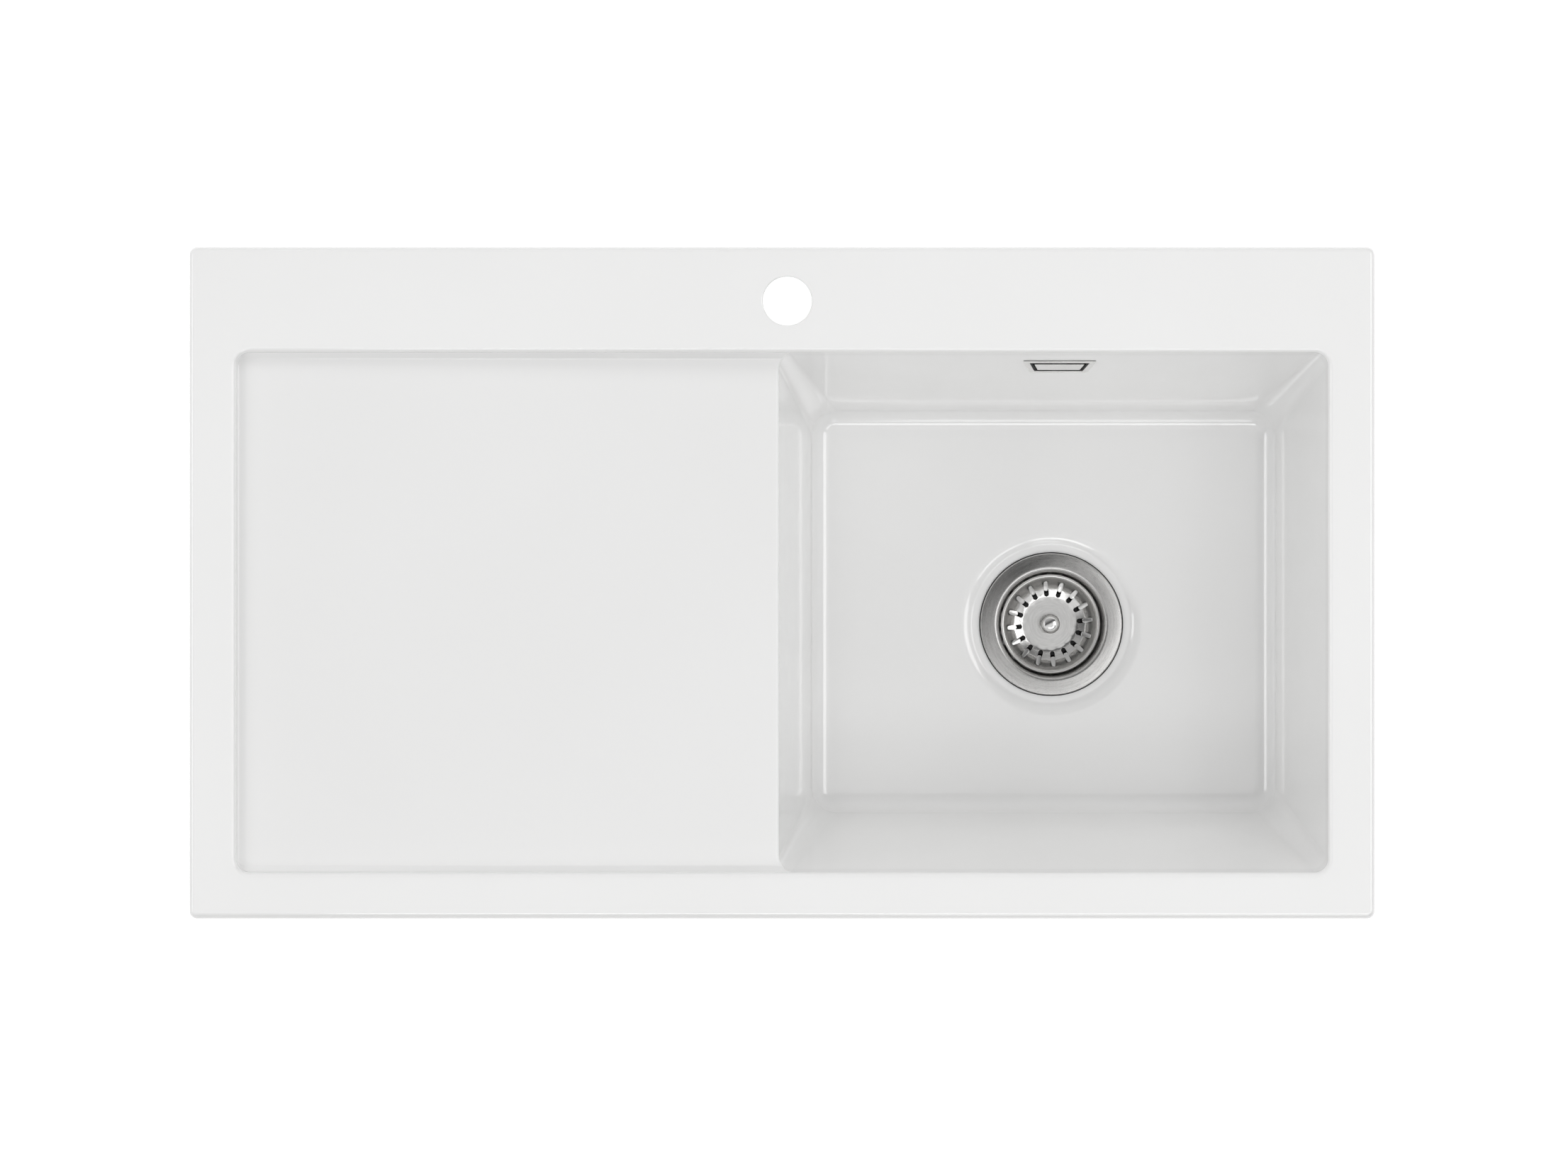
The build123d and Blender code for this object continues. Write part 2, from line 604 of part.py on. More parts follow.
# Rubber disc that closes on the cup's cone
cone_slope = (cup_wall_r - CUP_SUMP_R) / CUP_SEAT_DROP
cone_rise = seal_z - flange_z + CUP_SEAT_TOP + CUP_SEAT_DROP
seal_r = CUP_SUMP_R + cone_slope * cone_rise - hypot(1, cone_slope) * (SHEET / 2 + SEAL_GAP)
with BuildPart() as basket_seal:
    with BuildSketch(Plane((drain_x, drain_y, seal_z))):
        Circle(seal_r)
        Circle(STEM_R + STEM_FIT, mode=Mode.SUBTRACT)
    extrude(amount=SEAL_THICKNESS)
write(basket_seal.part, "basket_seal")

with BuildPart() as seal_washer:
    with BuildSketch(Plane((drain_x, drain_y, seal_washer_z))):
        Circle(SEAL_WASHER_R)
        Circle(STEM_R + STEM_FIT, mode=Mode.SUBTRACT)
    extrude(amount=SEAL_WASHER)
write(seal_washer.part, "seal_washer")

with BuildPart() as stem_nut:
    with BuildSketch(Plane((drain_x, drain_y, stem_nut_z))):
        RegularPolygon(STEM_NUT_R, 6, major_radius=False)
        Circle(STEM_R + STEM_FIT, mode=Mode.SUBTRACT)
    extrude(amount=STEM_NUT)
write(stem_nut.part, "stem_nut")

# Overflow cover: gasket, frame with a bar across its back, and the plate clipped to the bar
with BuildPart() as overflow_front_gasket:
    add(cover_slab(cover_wall, BEZEL_EDGE_R, FRONT_GASKET, wall_hole_inset))
write(overflow_front_gasket.part, "overflow_front_gasket")

with BuildPart() as overflow_bezel:
    add(cover_slab(bezel_back, 0, BEZEL_THICKNESS, COVER_FRAME))
    bezel_front = overflow_bezel.faces().sort_by(Axis(cover_wall.origin, cover_wall.z_dir))[-1]
    fillet(bezel_front.edges(), BEZEL_EDGE_R)
    with BuildSketch(cover_wall.offset(bar_back)):
        Rectangle(BAR_WIDTH, bar_length)
        with GridLocations(0, LEG_SPACING, 1, 2):
            Rectangle(LEG_WIDTH + 2 * LEG_CLEARANCE, LEG_THICKNESS + 2 * LEG_CLEARANCE, mode=Mode.SUBTRACT)
    extrude(amount=BAR_THICKNESS)
    with BuildSketch(cover_wall.offset(bar_back)):
        with GridLocations(0, bar_length - BAR_END, 1, 2):
            Rectangle(BAR_WIDTH, BAR_END)
    extrude(amount=FRONT_GASKET + BEZEL_THICKNESS / 2 - bar_back)
    with Locations(cover_wall.offset(bar_front)):
        CounterSinkHole(
            OVERFLOW_SCREW_R + LEG_CLEARANCE,
            OVERFLOW_SCREW_HEAD_R + LEG_CLEARANCE,
            BAR_THICKNESS + CUT_SPARE,
            COUNTERSINK_ANGLE,
        )
write(overflow_bezel.part, "overflow_bezel")

with BuildPart() as overflow_plate:
    add(cover_slab(cover_wall.offset(plate_back), COVER_FRAME + COVER_GAP, PLATE_THICKNESS))
    with BuildSketch(cover_wall.offset(plate_back)):
        with GridLocations(0, LEG_SPACING, 1, 2):
            Rectangle(LEG_WIDTH, LEG_THICKNESS)
    extrude(amount=bar_back - LEG_TIP - plate_back)
write(overflow_plate.part, "overflow_plate")

with BuildPart(cover_wall.offset(bar_front)) as overflow_screw:
    head = OVERFLOW_SCREW_HEAD_R - OVERFLOW_SCREW_R
    with Locations((0, 0, -head)):
        Cone(OVERFLOW_SCREW_R, OVERFLOW_SCREW_HEAD_R, head, align=BASE)
    with Locations((0, 0, -OVERFLOW_SCREW_LENGTH)):
        Cylinder(OVERFLOW_SCREW_R, OVERFLOW_SCREW_LENGTH, align=BASE)
    with BuildSketch(cover_wall.offset(bar_front)):
        RegularPolygon(DRIVE_R, 6)
    extrude(amount=-DRIVE_DEPTH, mode=Mode.SUBTRACT)
write(overflow_screw.part, "overflow_screw")

with BuildPart() as overflow_rear_gasket:
    add(cover_slab(housing_face, wall_hole_inset - HOUSING_LAP, REAR_GASKET, wall_hole_inset))
write(overflow_rear_gasket.part, "overflow_rear_gasket")

# Overflow housing: flange, box and neck, with a spigot straight down and a boss for the screw
neck_length = wall_normal + REAR_GASKET + neck_front
spigot_mouth = Plane((drain_x, pipe_y, spigot_z), x_dir=(1, 0, 0), z_dir=(0, 0, -1))
with BuildPart() as overflow_housing:
    add(cover_slab(housing_face, wall_hole_inset - HOUSING_LAP, -HOUSING_FLANGE))
    add(cover_slab(housing_face, neck_inset, -HOUSING_DEPTH))
    add(cover_slab(housing_face, neck_inset, neck_length))
    with BuildSketch(spigot_mouth):
        Circle(SPIGOT_R)
    extrude(amount=-SPIGOT_LENGTH - COVER_HEIGHT / 2)
    add(
        cover_slab(
            housing_face.offset(neck_length),
            neck_inset + HOUSING_WALL,
            HOUSING_WALL - HOUSING_DEPTH - neck_length,
        ),
        mode=Mode.SUBTRACT,
    )
    with BuildSketch(spigot_mouth):
        Circle(PIPE_R + PIPE_CLEARANCE)
    extrude(amount=-SPIGOT_LENGTH - COVER_HEIGHT / 2, mode=Mode.SUBTRACT)
    with BuildSketch(cover_wall.offset(neck_front)):
        Circle(OVERFLOW_BOSS_R)
    extrude(amount=-HOUSING_DEPTH - neck_length + HOUSING_WALL)
    with BuildSketch(cover_wall.offset(neck_front)):
        Circle(OVERFLOW_SCREW_R + SCREW_FIT)
    extrude(amount=-OVERFLOW_SCREW_LENGTH, mode=Mode.SUBTRACT)
write(overflow_housing.part, "overflow_housing")

# Overflow pipe: down behind the bowl, one bend, forwards to the waste body
with BuildPart() as overflow_pipe:
    with BuildLine() as route:
        FilletPolyline(
            (drain_x, pipe_y, spigot_z + PIPE_INSERT),
            (drain_x, pipe_y, inlet_z),
            (drain_x, inlet_mouth_y - PIPE_INSERT, inlet_z),
            radius=PIPE_BEND_R,
        )
    with BuildSketch(Plane(route.line @ 0, z_dir=route.line % 0)):
        Circle(PIPE_R)
        Circle(PIPE_R - PIPE_WALL, mode=Mode.SUBTRACT)
    sweep()
write(overflow_pipe.part, "overflow_pipe")

for place, mouth in (("upper", spigot_mouth), ("lower", inlet_mouth)):
    write(pipe_nut(mouth), f"pipe_nut_{place}")
    write(pipe_seal(mouth), f"pipe_seal_{place}")
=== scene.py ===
"""Studio scene of a white ceramic kitchen sink: basin, basket strainer, overflow and waste.

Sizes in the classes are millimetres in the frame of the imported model: the origin is the centre of
the rim's underside, +X runs to the right, +Y to the tap ledge and +Z up.
"""

import logging
import math
from collections.abc import Callable, Iterable, Sequence
from dataclasses import dataclass, field, replace
from enum import Enum

import bmesh
import bpy
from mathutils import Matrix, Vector, geometry

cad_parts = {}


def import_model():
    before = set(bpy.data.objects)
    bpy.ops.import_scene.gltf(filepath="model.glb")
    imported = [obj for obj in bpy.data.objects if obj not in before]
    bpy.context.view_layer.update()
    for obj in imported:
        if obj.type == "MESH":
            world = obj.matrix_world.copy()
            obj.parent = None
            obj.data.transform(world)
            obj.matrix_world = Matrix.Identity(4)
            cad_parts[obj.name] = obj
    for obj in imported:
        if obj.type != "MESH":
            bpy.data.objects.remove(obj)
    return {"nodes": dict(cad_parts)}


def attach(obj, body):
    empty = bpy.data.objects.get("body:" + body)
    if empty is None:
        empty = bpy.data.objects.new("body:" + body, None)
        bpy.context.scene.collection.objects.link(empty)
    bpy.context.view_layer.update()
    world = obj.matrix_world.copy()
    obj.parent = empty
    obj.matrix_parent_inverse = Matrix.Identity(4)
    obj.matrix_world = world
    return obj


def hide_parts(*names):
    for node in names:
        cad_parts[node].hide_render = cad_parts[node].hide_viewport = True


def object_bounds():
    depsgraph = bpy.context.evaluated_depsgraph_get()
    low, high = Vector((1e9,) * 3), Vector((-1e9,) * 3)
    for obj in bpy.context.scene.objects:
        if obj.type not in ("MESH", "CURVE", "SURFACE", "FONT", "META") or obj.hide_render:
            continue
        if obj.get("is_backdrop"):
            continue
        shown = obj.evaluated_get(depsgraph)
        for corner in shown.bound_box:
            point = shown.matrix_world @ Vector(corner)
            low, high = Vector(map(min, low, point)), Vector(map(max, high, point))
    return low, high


LOG = logging.getLogger("sink")
MM = 0.001  # metres in a millimetre
WELD = 0.01  # distance below which points are merged
TINY = 1e-6  # tolerance of a comparison
FLAT = 1e-3  # height over the drainer's floor that counts as none
HALVINGS = 40  # steps of a search by halves
RUN_OUT = 4.0  # straight ends of a rounded profile, which are cut off
LARGE_ROUND, SMALL_ROUND = 128, 64  # segments of large and small circles
NOISE_LOW, NOISE_HIGH = 0.3, 0.7  # usual range of a noise pattern
MIX_INPUTS = (0, 6, 7)  # factor and colours of a node that mixes colours
DRAIN_X, DRAIN_Y = 212.0, -32.25  # the drain's axis
WALL_RUN, WALL_DROP = 42.0, 185.5  # lean of the bowl's long walls


class Body(str, Enum):
    """Rigid bodies that the pieces ride on."""

    SINK = "sink"
    BASKET = "basket"


class Slot(str, Enum):
    """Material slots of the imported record."""

    CERAMIC = "ceramic"
    BRUSHED = "brushed_steel"
    SATIN = "basket_steel"
    POLISHED = "polished_steel"
    RUBBER = "black_rubber"
    WHITE_PLASTIC = "white_plastic"
    PIPE_PLASTIC = "pipe_plastic"
    BLACK_PLASTIC = "black_plastic"
    BRASS = "brass"


# Shapes


def arc_between(corner: Vector, first: Vector, second: Vector, radius: float, steps: int) -> list[Vector]:
    """Rounds a corner.

    Args:
        corner: Point where the two straight lines would meet.
        first: Direction that leaves the corner towards the arc's start.
        second: Direction that leaves the corner towards the arc's end.
        radius: Radius of the arc.
        steps: Number of segments.

    Returns:
        The arc's points, from its start to its end.
    """
    first, second = first.normalized(), second.normalized()
    half = first.angle(second) / 2
    centre = corner + (first + second).normalized() * (radius / math.sin(half))
    start = corner + first * (radius / math.tan(half)) - centre
    end = corner + second * (radius / math.tan(half)) - centre
    turn = math.pi - 2 * half
    points = []
    for step in range(steps + 1):
        share = step / steps
        points.append(
            centre
            + start * (math.sin((1 - share) * turn) / math.sin(turn))
            + end * (math.sin(share * turn) / math.sin(turn))
        )
    return points


def rounded_path(
    corners: Sequence[tuple[float, float]], radii: Sequence[float], steps: int
) -> list[Vector]:
    """Joins points by straight lines and rounds the corners between them.

    Args:
        corners: Corner points of the path, first and last included.
        radii: Radius at each inner corner; 0 leaves it sharp.
        steps: Segments of each arc.

    Returns:
        The points of the rounded path.
    """
    spots = [Vector(corner) for corner in corners]
    path = [spots[0]]
    for before, here, after, radius in zip(spots, spots[1:], spots[2:], radii):
        if radius > 0:
            path.extend(arc_between(here, before - here, after - here, radius, steps))
        else:
            path.append(here)
    path.append(spots[-1])
    return path


def spread(first: float, last: float, count: int) -> list[float]:
    """Evenly spaced numbers.

    Args:
        first: First number.
        last: Last number.
        count: How many there are, the first and the last included.

    Returns:
        The numbers.
    """
    return [first + (last - first) * k / (count - 1) for k in range(count)]


def circle(x: float, y: float, radius: float, z: float, count: int) -> list[Vector]:
    """A level ring of points.

    Args:
        x: Centre.
        y: Centre.
        radius: Radius.
        z: Height.
        count: Number of points.

    Returns:
        The points, counter-clockwise from +X.
    """
    turns = [2 * math.pi * k / count for k in range(count)]
    return [Vector((x + radius * math.cos(t), y + radius * math.sin(t), z)) for t in turns]


def encloses(loop: Sequence[Vector], spot: Vector) -> bool:
    """Whether a point lies inside a flat loop.

    Args:
        loop: The loop's points.
        spot: The point.

    Returns:
        True if it lies inside.
    """
    crossings = 0
    for here, after in zip(loop, [*loop[1:], loop[0]]):
        if (here.y > spot.y) != (after.y > spot.y):
            reach = here.x + (after.x - here.x) * (spot.y - here.y) / (after.y - here.y)
            crossings += reach > spot.x
    return crossings % 2 == 1


@dataclass(frozen=True)
class RingPlan:
    """Where a rounded rectangle has its points, as fractions of each straight side."""

    front: tuple[float, ...]
    right: tuple[float, ...]
    back: tuple[float, ...]
    left: tuple[float, ...]
    corner: int = 10

    def starts(self) -> tuple[int, int, int, int]:
        """Index of the first point on the front, right, back and left side."""
        inner = self.corner - 1
        right = len(self.front) + inner
        back = right + len(self.right) + inner
        return 0, right, back, back + len(self.back) + inner


@dataclass(frozen=True)
class RoundedBox:
    """A rounded rectangle seen from above."""

    x: float
    y: float
    half_x: float
    half_y: float
    corner_r: float

    def grown(self, by: float) -> "RoundedBox":
        """The same rectangle, larger by an equal margin all round."""
        return RoundedBox(self.x, self.y, self.half_x + by, self.half_y + by, self.corner_r + by)

    def walk(self, plan: RingPlan) -> tuple[list[Vector], list[Vector]]:
        """Goes round the rectangle, from the left end of its front side to the right.

        Args:
            plan: Where the points are.

        Returns:
            The points and the outward directions there, both level.
        """
        reach_x, reach_y = self.half_x - self.corner_r, self.half_y - self.corner_r
        sides = (
            (plan.front, Vector((0, -1, 0)), Vector((1, 0, 0)), reach_x, self.half_y),
            (plan.right, Vector((1, 0, 0)), Vector((0, 1, 0)), reach_y, self.half_x),
            (plan.back, Vector((0, 1, 0)), Vector((-1, 0, 0)), reach_x, self.half_y),
            (plan.left, Vector((-1, 0, 0)), Vector((0, -1, 0)), reach_y, self.half_x),
        )
        middle = Vector((self.x, self.y, 0))
        points, outward = [], []
        for side, (fractions, out, along, reach, half) in enumerate(sides):
            for fraction in fractions:
                points.append(middle + out * half + along * (reach * (2 * fraction - 1)))
                outward.append(out)
            pivot = middle + out * (half - self.corner_r) + along * reach
            for step in range(1, plan.corner):
                turn = math.pi / 2 * (side - 1 + step / plan.corner)
                way = Vector((math.cos(turn), math.sin(turn), 0))
                points.append(pivot + way * self.corner_r)
                outward.append(way)
        return points, outward

    def ring(self, plan: RingPlan, z: float) -> list[Vector]:
        """The rectangle's points at one height."""
        return [point + Vector((0, 0, z)) for point in self.walk(plan)[0]]


class Draft:
    """A mesh that is put together patch by patch, in millimetres."""

    def __init__(self) -> None:
        """Starts with no points and no faces."""
        self.points: list[Vector] = []
        self.faces: list[tuple[int, ...]] = []
        self.finishes: list[int] = []

    def add(self, points: Iterable[Vector]) -> list[int]:
        """Adds points and returns their indices."""
        start = len(self.points)
        self.points.extend(points)
        return list(range(start, len(self.points)))

    def face(self, corners: Sequence[int], finish: int = 0) -> None:
        """Adds one face with the index of its finish."""
        self.faces.append(tuple(corners))
        self.finishes.append(finish)

    def loft(
        self,
        rows: Sequence[Sequence[Vector]],
        closed: bool = True,
        finish: int = 0,
        skip: Iterable[int] = (),
    ) -> None:
        """Joins rows of equally many points by four-sided faces.

        Args:
            rows: The rows, one after the other.
            closed: Whether each row goes back to its first point.
            finish: Index of the faces' finish.
            skip: Places along the rows that get no faces.
        """
        left_out = set(skip)
        indices = [self.add(row) for row in rows]
        for first, second in zip(indices, indices[1:]):
            count = len(first)
            for k in range(count if closed else count - 1):
                if k not in left_out:
                    after = (k + 1) % count
                    self.face((first[k], first[after], second[after], second[k]), finish)

    def fill(
        self,
        outline: Sequence[Vector],
        holes: Sequence[Sequence[Vector]] = (),
        finish: int = 0,
    ) -> None:
        """Fills a flat outline, leaving its holes open.

        Args:
            outline: Points of the outer edge.
            holes: Points of each inner edge.
            finish: Index of the faces' finish.
        """
        normal = geometry.normal(outline)
        across = normal.orthogonal().normalized()
        along = normal.cross(across)
        loops = [outline, *holes]
        corners = [point for loop in loops for point in loop]
        flat = [Vector((point.dot(across), point.dot(along))) for point in corners]
        edges = []
        for loop in loops:
            start = len(edges)
            edges.extend((start + k, start + (k + 1) % len(loop)) for k in range(len(loop)))
        spots, _, triangles, sources, _, _ = geometry.delaunay_2d_cdt(flat, edges, [], 1, TINY)
        indices = self.add(corners[source[0]] for source in sources)
        rims, start = [], len(outline)
        for loop in holes:
            rims.append(flat[start : start + len(loop)])
            start += len(loop)
        for triangle in triangles:
            middle = sum((spots[k] for k in triangle), Vector((0, 0))) / len(triangle)
            if not any(encloses(rim, middle) for rim in rims):
                self.face([indices[k] for k in triangle], finish)

    def solid(self, rows: Sequence[Sequence[Vector]], finish: int = 0) -> None:
        """Joins closed rows, and fills the first and the last."""
        self.loft(rows, finish=finish)
        self.fill(rows[0], finish=finish)
        self.fill(rows[-1], finish=finish)

    def revolve(self, profile: Sequence[Vector], x: float, y: float, count: int) -> None:
        """Turns a profile of radius and height about an upright axis.

        Args:
            profile: Points of radius and height.
            x: Axis.
            y: Axis.
            count: Segments round the axis.
        """
        self.loft([circle(x, y, spot[0], spot[1], count) for spot in profile])

    def piece(
        self,
        name: str,
        materials: Sequence[bpy.types.Material],
        sharp_deg: float = 40.0,
    ) -> bpy.types.Object:
        """Makes the object, welded and smooth, with sharp edges where it turns sharply.

        Args:
            name: Name of the piece.
            materials: Finishes that the faces' indices count.
            sharp_deg: Angle above which an edge is sharp.

        Returns:
            The linked object.
        """
        data = bpy.data.meshes.new(name)
        data.from_pydata([point * MM for point in self.points], [], self.faces)
        for material in materials:
            data.materials.append(material)
        data.polygons.foreach_set("material_index", self.finishes)
        work = bmesh.new()
        work.from_mesh(data)
        bmesh.ops.remove_doubles(work, verts=work.verts, dist=WELD * MM)
        bmesh.ops.dissolve_degenerate(work, edges=work.edges, dist=WELD * MM)
        bmesh.ops.recalc_face_normals(work, faces=work.faces)
        open_edges = sum(not edge.is_manifold for edge in work.edges)
        work.to_mesh(data)
        work.free()
        data.shade_smooth()
        data.set_sharp_from_angle(angle=math.radians(sharp_deg))
        made = bpy.data.objects.new(name, data)
        bpy.context.scene.collection.objects.link(made)
        LOG.info("%s: %d faces, %d open edges", name, len(data.polygons), open_edges)
        return made


def settle(piece: bpy.types.Object, sharp_deg: float | None = None) -> None:
    """Turns a piece with its modifiers into a plain mesh.

    Args:
        piece: The object; its modifiers are removed.
        sharp_deg: Angle above which an edge is made sharp, or None to leave the edges.
    """
    graph = bpy.context.evaluated_depsgraph_get()
    made = bpy.data.meshes.new_from_object(
        piece.evaluated_get(graph), preserve_all_data_layers=True, depsgraph=graph
    )
    before = piece.data
    piece.modifiers.clear()
    piece.data = made
    bpy.data.meshes.remove(before)
    made.name = piece.name
    if sharp_deg is not None:
        made.shade_smooth()
        made.set_sharp_from_angle(angle=math.radians(sharp_deg))


def even_normals(piece: bpy.types.Object) -> None:
    """Lets large flat faces set the shading of the rounded edges beside them."""
    weighting = piece.modifiers.new("normals", "WEIGHTED_NORMAL")
    weighting.mode = "FACE_AREA"
    weighting.keep_sharp = True
    settle(piece)


def place(piece: bpy.types.Object, body: Body, slot: Slot, *nodes: str) -> None:
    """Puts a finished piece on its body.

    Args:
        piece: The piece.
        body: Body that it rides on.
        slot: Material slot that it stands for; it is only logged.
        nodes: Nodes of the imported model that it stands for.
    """
    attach(piece, body.value)
    if nodes:
        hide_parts(*nodes)
    LOG.info("%s rides on %s with %s", piece.name, body.value, slot.value)


# Repeats, as geometry nodes


class NodeSheet:
    """Adds and joins the nodes of one tree."""

    def __init__(self, tree: bpy.types.NodeTree) -> None:
        """Takes the tree and empties it."""
        self.tree = tree
        tree.nodes.clear()

    def add(self, kind: str, **settings: object) -> bpy.types.Node:
        """Adds a node and sets its properties."""
        node = self.tree.nodes.new(kind)
        for key, value in settings.items():
            setattr(node, key, value)
        return node

    def link(self, source: bpy.types.NodeSocket, target: bpy.types.NodeSocket) -> None:
        """Joins an output to an input."""
        self.tree.links.new(source, target)

    def math(self, operation: str, first: object, second: object = 0.0) -> bpy.types.NodeSocket:
        """Adds an operation on two numbers or sockets.

        Args:
            operation: Name of the operation.
            first: A number or an output socket.
            second: A number or an output socket.

        Returns:
            The result's socket.
        """
        node = self.add("ShaderNodeMath", operation=operation)
        for value, socket in ((first, node.inputs[0]), (second, node.inputs[1])):
            if isinstance(value, bpy.types.NodeSocket):
                self.link(value, socket)
            else:
                socket.default_value = value
        return node.outputs[0]


class Repeat:
    """A geometry-node tree that repeats a piece and makes one mesh of the copies."""

    def __init__(self, name: str, inputs: Sequence[tuple[str, str]]) -> None:
        """Starts the tree.

        Args:
            name: Name of the tree.
            inputs: Name and socket type of each input.
        """
        self.tree = bpy.data.node_groups.new(name, "GeometryNodeTree")
        self.sheet = NodeSheet(self.tree)
        face = self.tree.interface
        face.new_socket("Geometry", in_out="INPUT", socket_type="NodeSocketGeometry")
        face.new_socket("Geometry", in_out="OUTPUT", socket_type="NodeSocketGeometry")
        self.keys = {
            label: face.new_socket(label, in_out="INPUT", socket_type=kind).identifier
            for label, kind in inputs
        }
        self.entry = self.sheet.add("NodeGroupInput")
        self.exit = self.sheet.add("NodeGroupOutput")

    def close(self, instances: bpy.types.NodeSocket) -> None:
        """Ends the tree: realizes the copies, welds them and gives them their material."""
        realize = self.sheet.add("GeometryNodeRealizeInstances")
        weld = self.sheet.add("GeometryNodeMergeByDistance")
        weld.inputs["Distance"].default_value = WELD * MM
        dress = self.sheet.add("GeometryNodeSetMaterial")
        self.sheet.link(instances, realize.inputs["Geometry"])
        self.sheet.link(realize.outputs["Geometry"], weld.inputs["Geometry"])
        self.sheet.link(weld.outputs["Geometry"], dress.inputs["Geometry"])
        self.sheet.link(self.entry.outputs["Material"], dress.inputs["Material"])
        self.sheet.link(dress.outputs["Geometry"], self.exit.inputs["Geometry"])

    def use(self, piece: bpy.types.Object, **values: object) -> None:
        """Puts the tree on a piece, with its inputs set by their identifiers."""
        modifier = piece.modifiers.new(self.tree.name, "NODES")
        modifier.node_group = self.tree
        for label, value in values.items():
            modifier[self.keys[label]] = value


def ring_repeat() -> Repeat:
    """A tree that turns copies of a piece about an upright axis.

    Returns:
        The tree, with the inputs Count, Phase, Centre and Material.
    """
    repeat = Repeat(
        "ring_repeat",
        (
            ("Count", "NodeSocketInt"),
            ("Phase", "NodeSocketFloat"),
            ("Centre", "NodeSocketVector"),
            ("Material", "NodeSocketMaterial"),
        ),
    )
    sheet, entry = repeat.sheet, repeat.entry
    spots = sheet.add("GeometryNodeMeshLine")
    spots.inputs["Offset"].default_value = (0, 0, 0)
    sheet.link(entry.outputs["Count"], spots.inputs["Count"])
    sheet.link(entry.outputs["Centre"], spots.inputs["Start Location"])
    step = sheet.math("DIVIDE", 2 * math.pi, entry.outputs["Count"])
    turn = sheet.math("MULTIPLY", sheet.add("GeometryNodeInputIndex").outputs[0], step)
    turn = sheet.math("ADD", turn, entry.outputs["Phase"])
    around = sheet.add("ShaderNodeCombineXYZ")
    sheet.link(turn, around.inputs["Z"])
    copies = sheet.add("GeometryNodeInstanceOnPoints")
    sheet.link(spots.outputs["Mesh"], copies.inputs["Points"])
    sheet.link(entry.outputs["Geometry"], copies.inputs["Instance"])
    sheet.link(around.outputs["Vector"], copies.inputs["Rotation"])
    repeat.close(copies.outputs["Instances"])
    return repeat


def row_repeat() -> Repeat:
    """A tree that sets copies of a piece in a row.

    Returns:
        The tree, with the inputs Count, Start, Offset and Material.
    """
    repeat = Repeat(
        "row_repeat",
        (
            ("Count", "NodeSocketInt"),
            ("Start", "NodeSocketVector"),
            ("Offset", "NodeSocketVector"),
            ("Material", "NodeSocketMaterial"),
        ),
    )
    sheet, entry = repeat.sheet, repeat.entry
    spots = sheet.add("GeometryNodeMeshLine")
    sheet.link(entry.outputs["Count"], spots.inputs["Count"])
    sheet.link(entry.outputs["Start"], spots.inputs["Start Location"])
    sheet.link(entry.outputs["Offset"], spots.inputs["Offset"])
    copies = sheet.add("GeometryNodeInstanceOnPoints")
    sheet.link(spots.outputs["Mesh"], copies.inputs["Points"])
    sheet.link(entry.outputs["Geometry"], copies.inputs["Instance"])
    repeat.close(copies.outputs["Instances"])
    return repeat


# Finishes


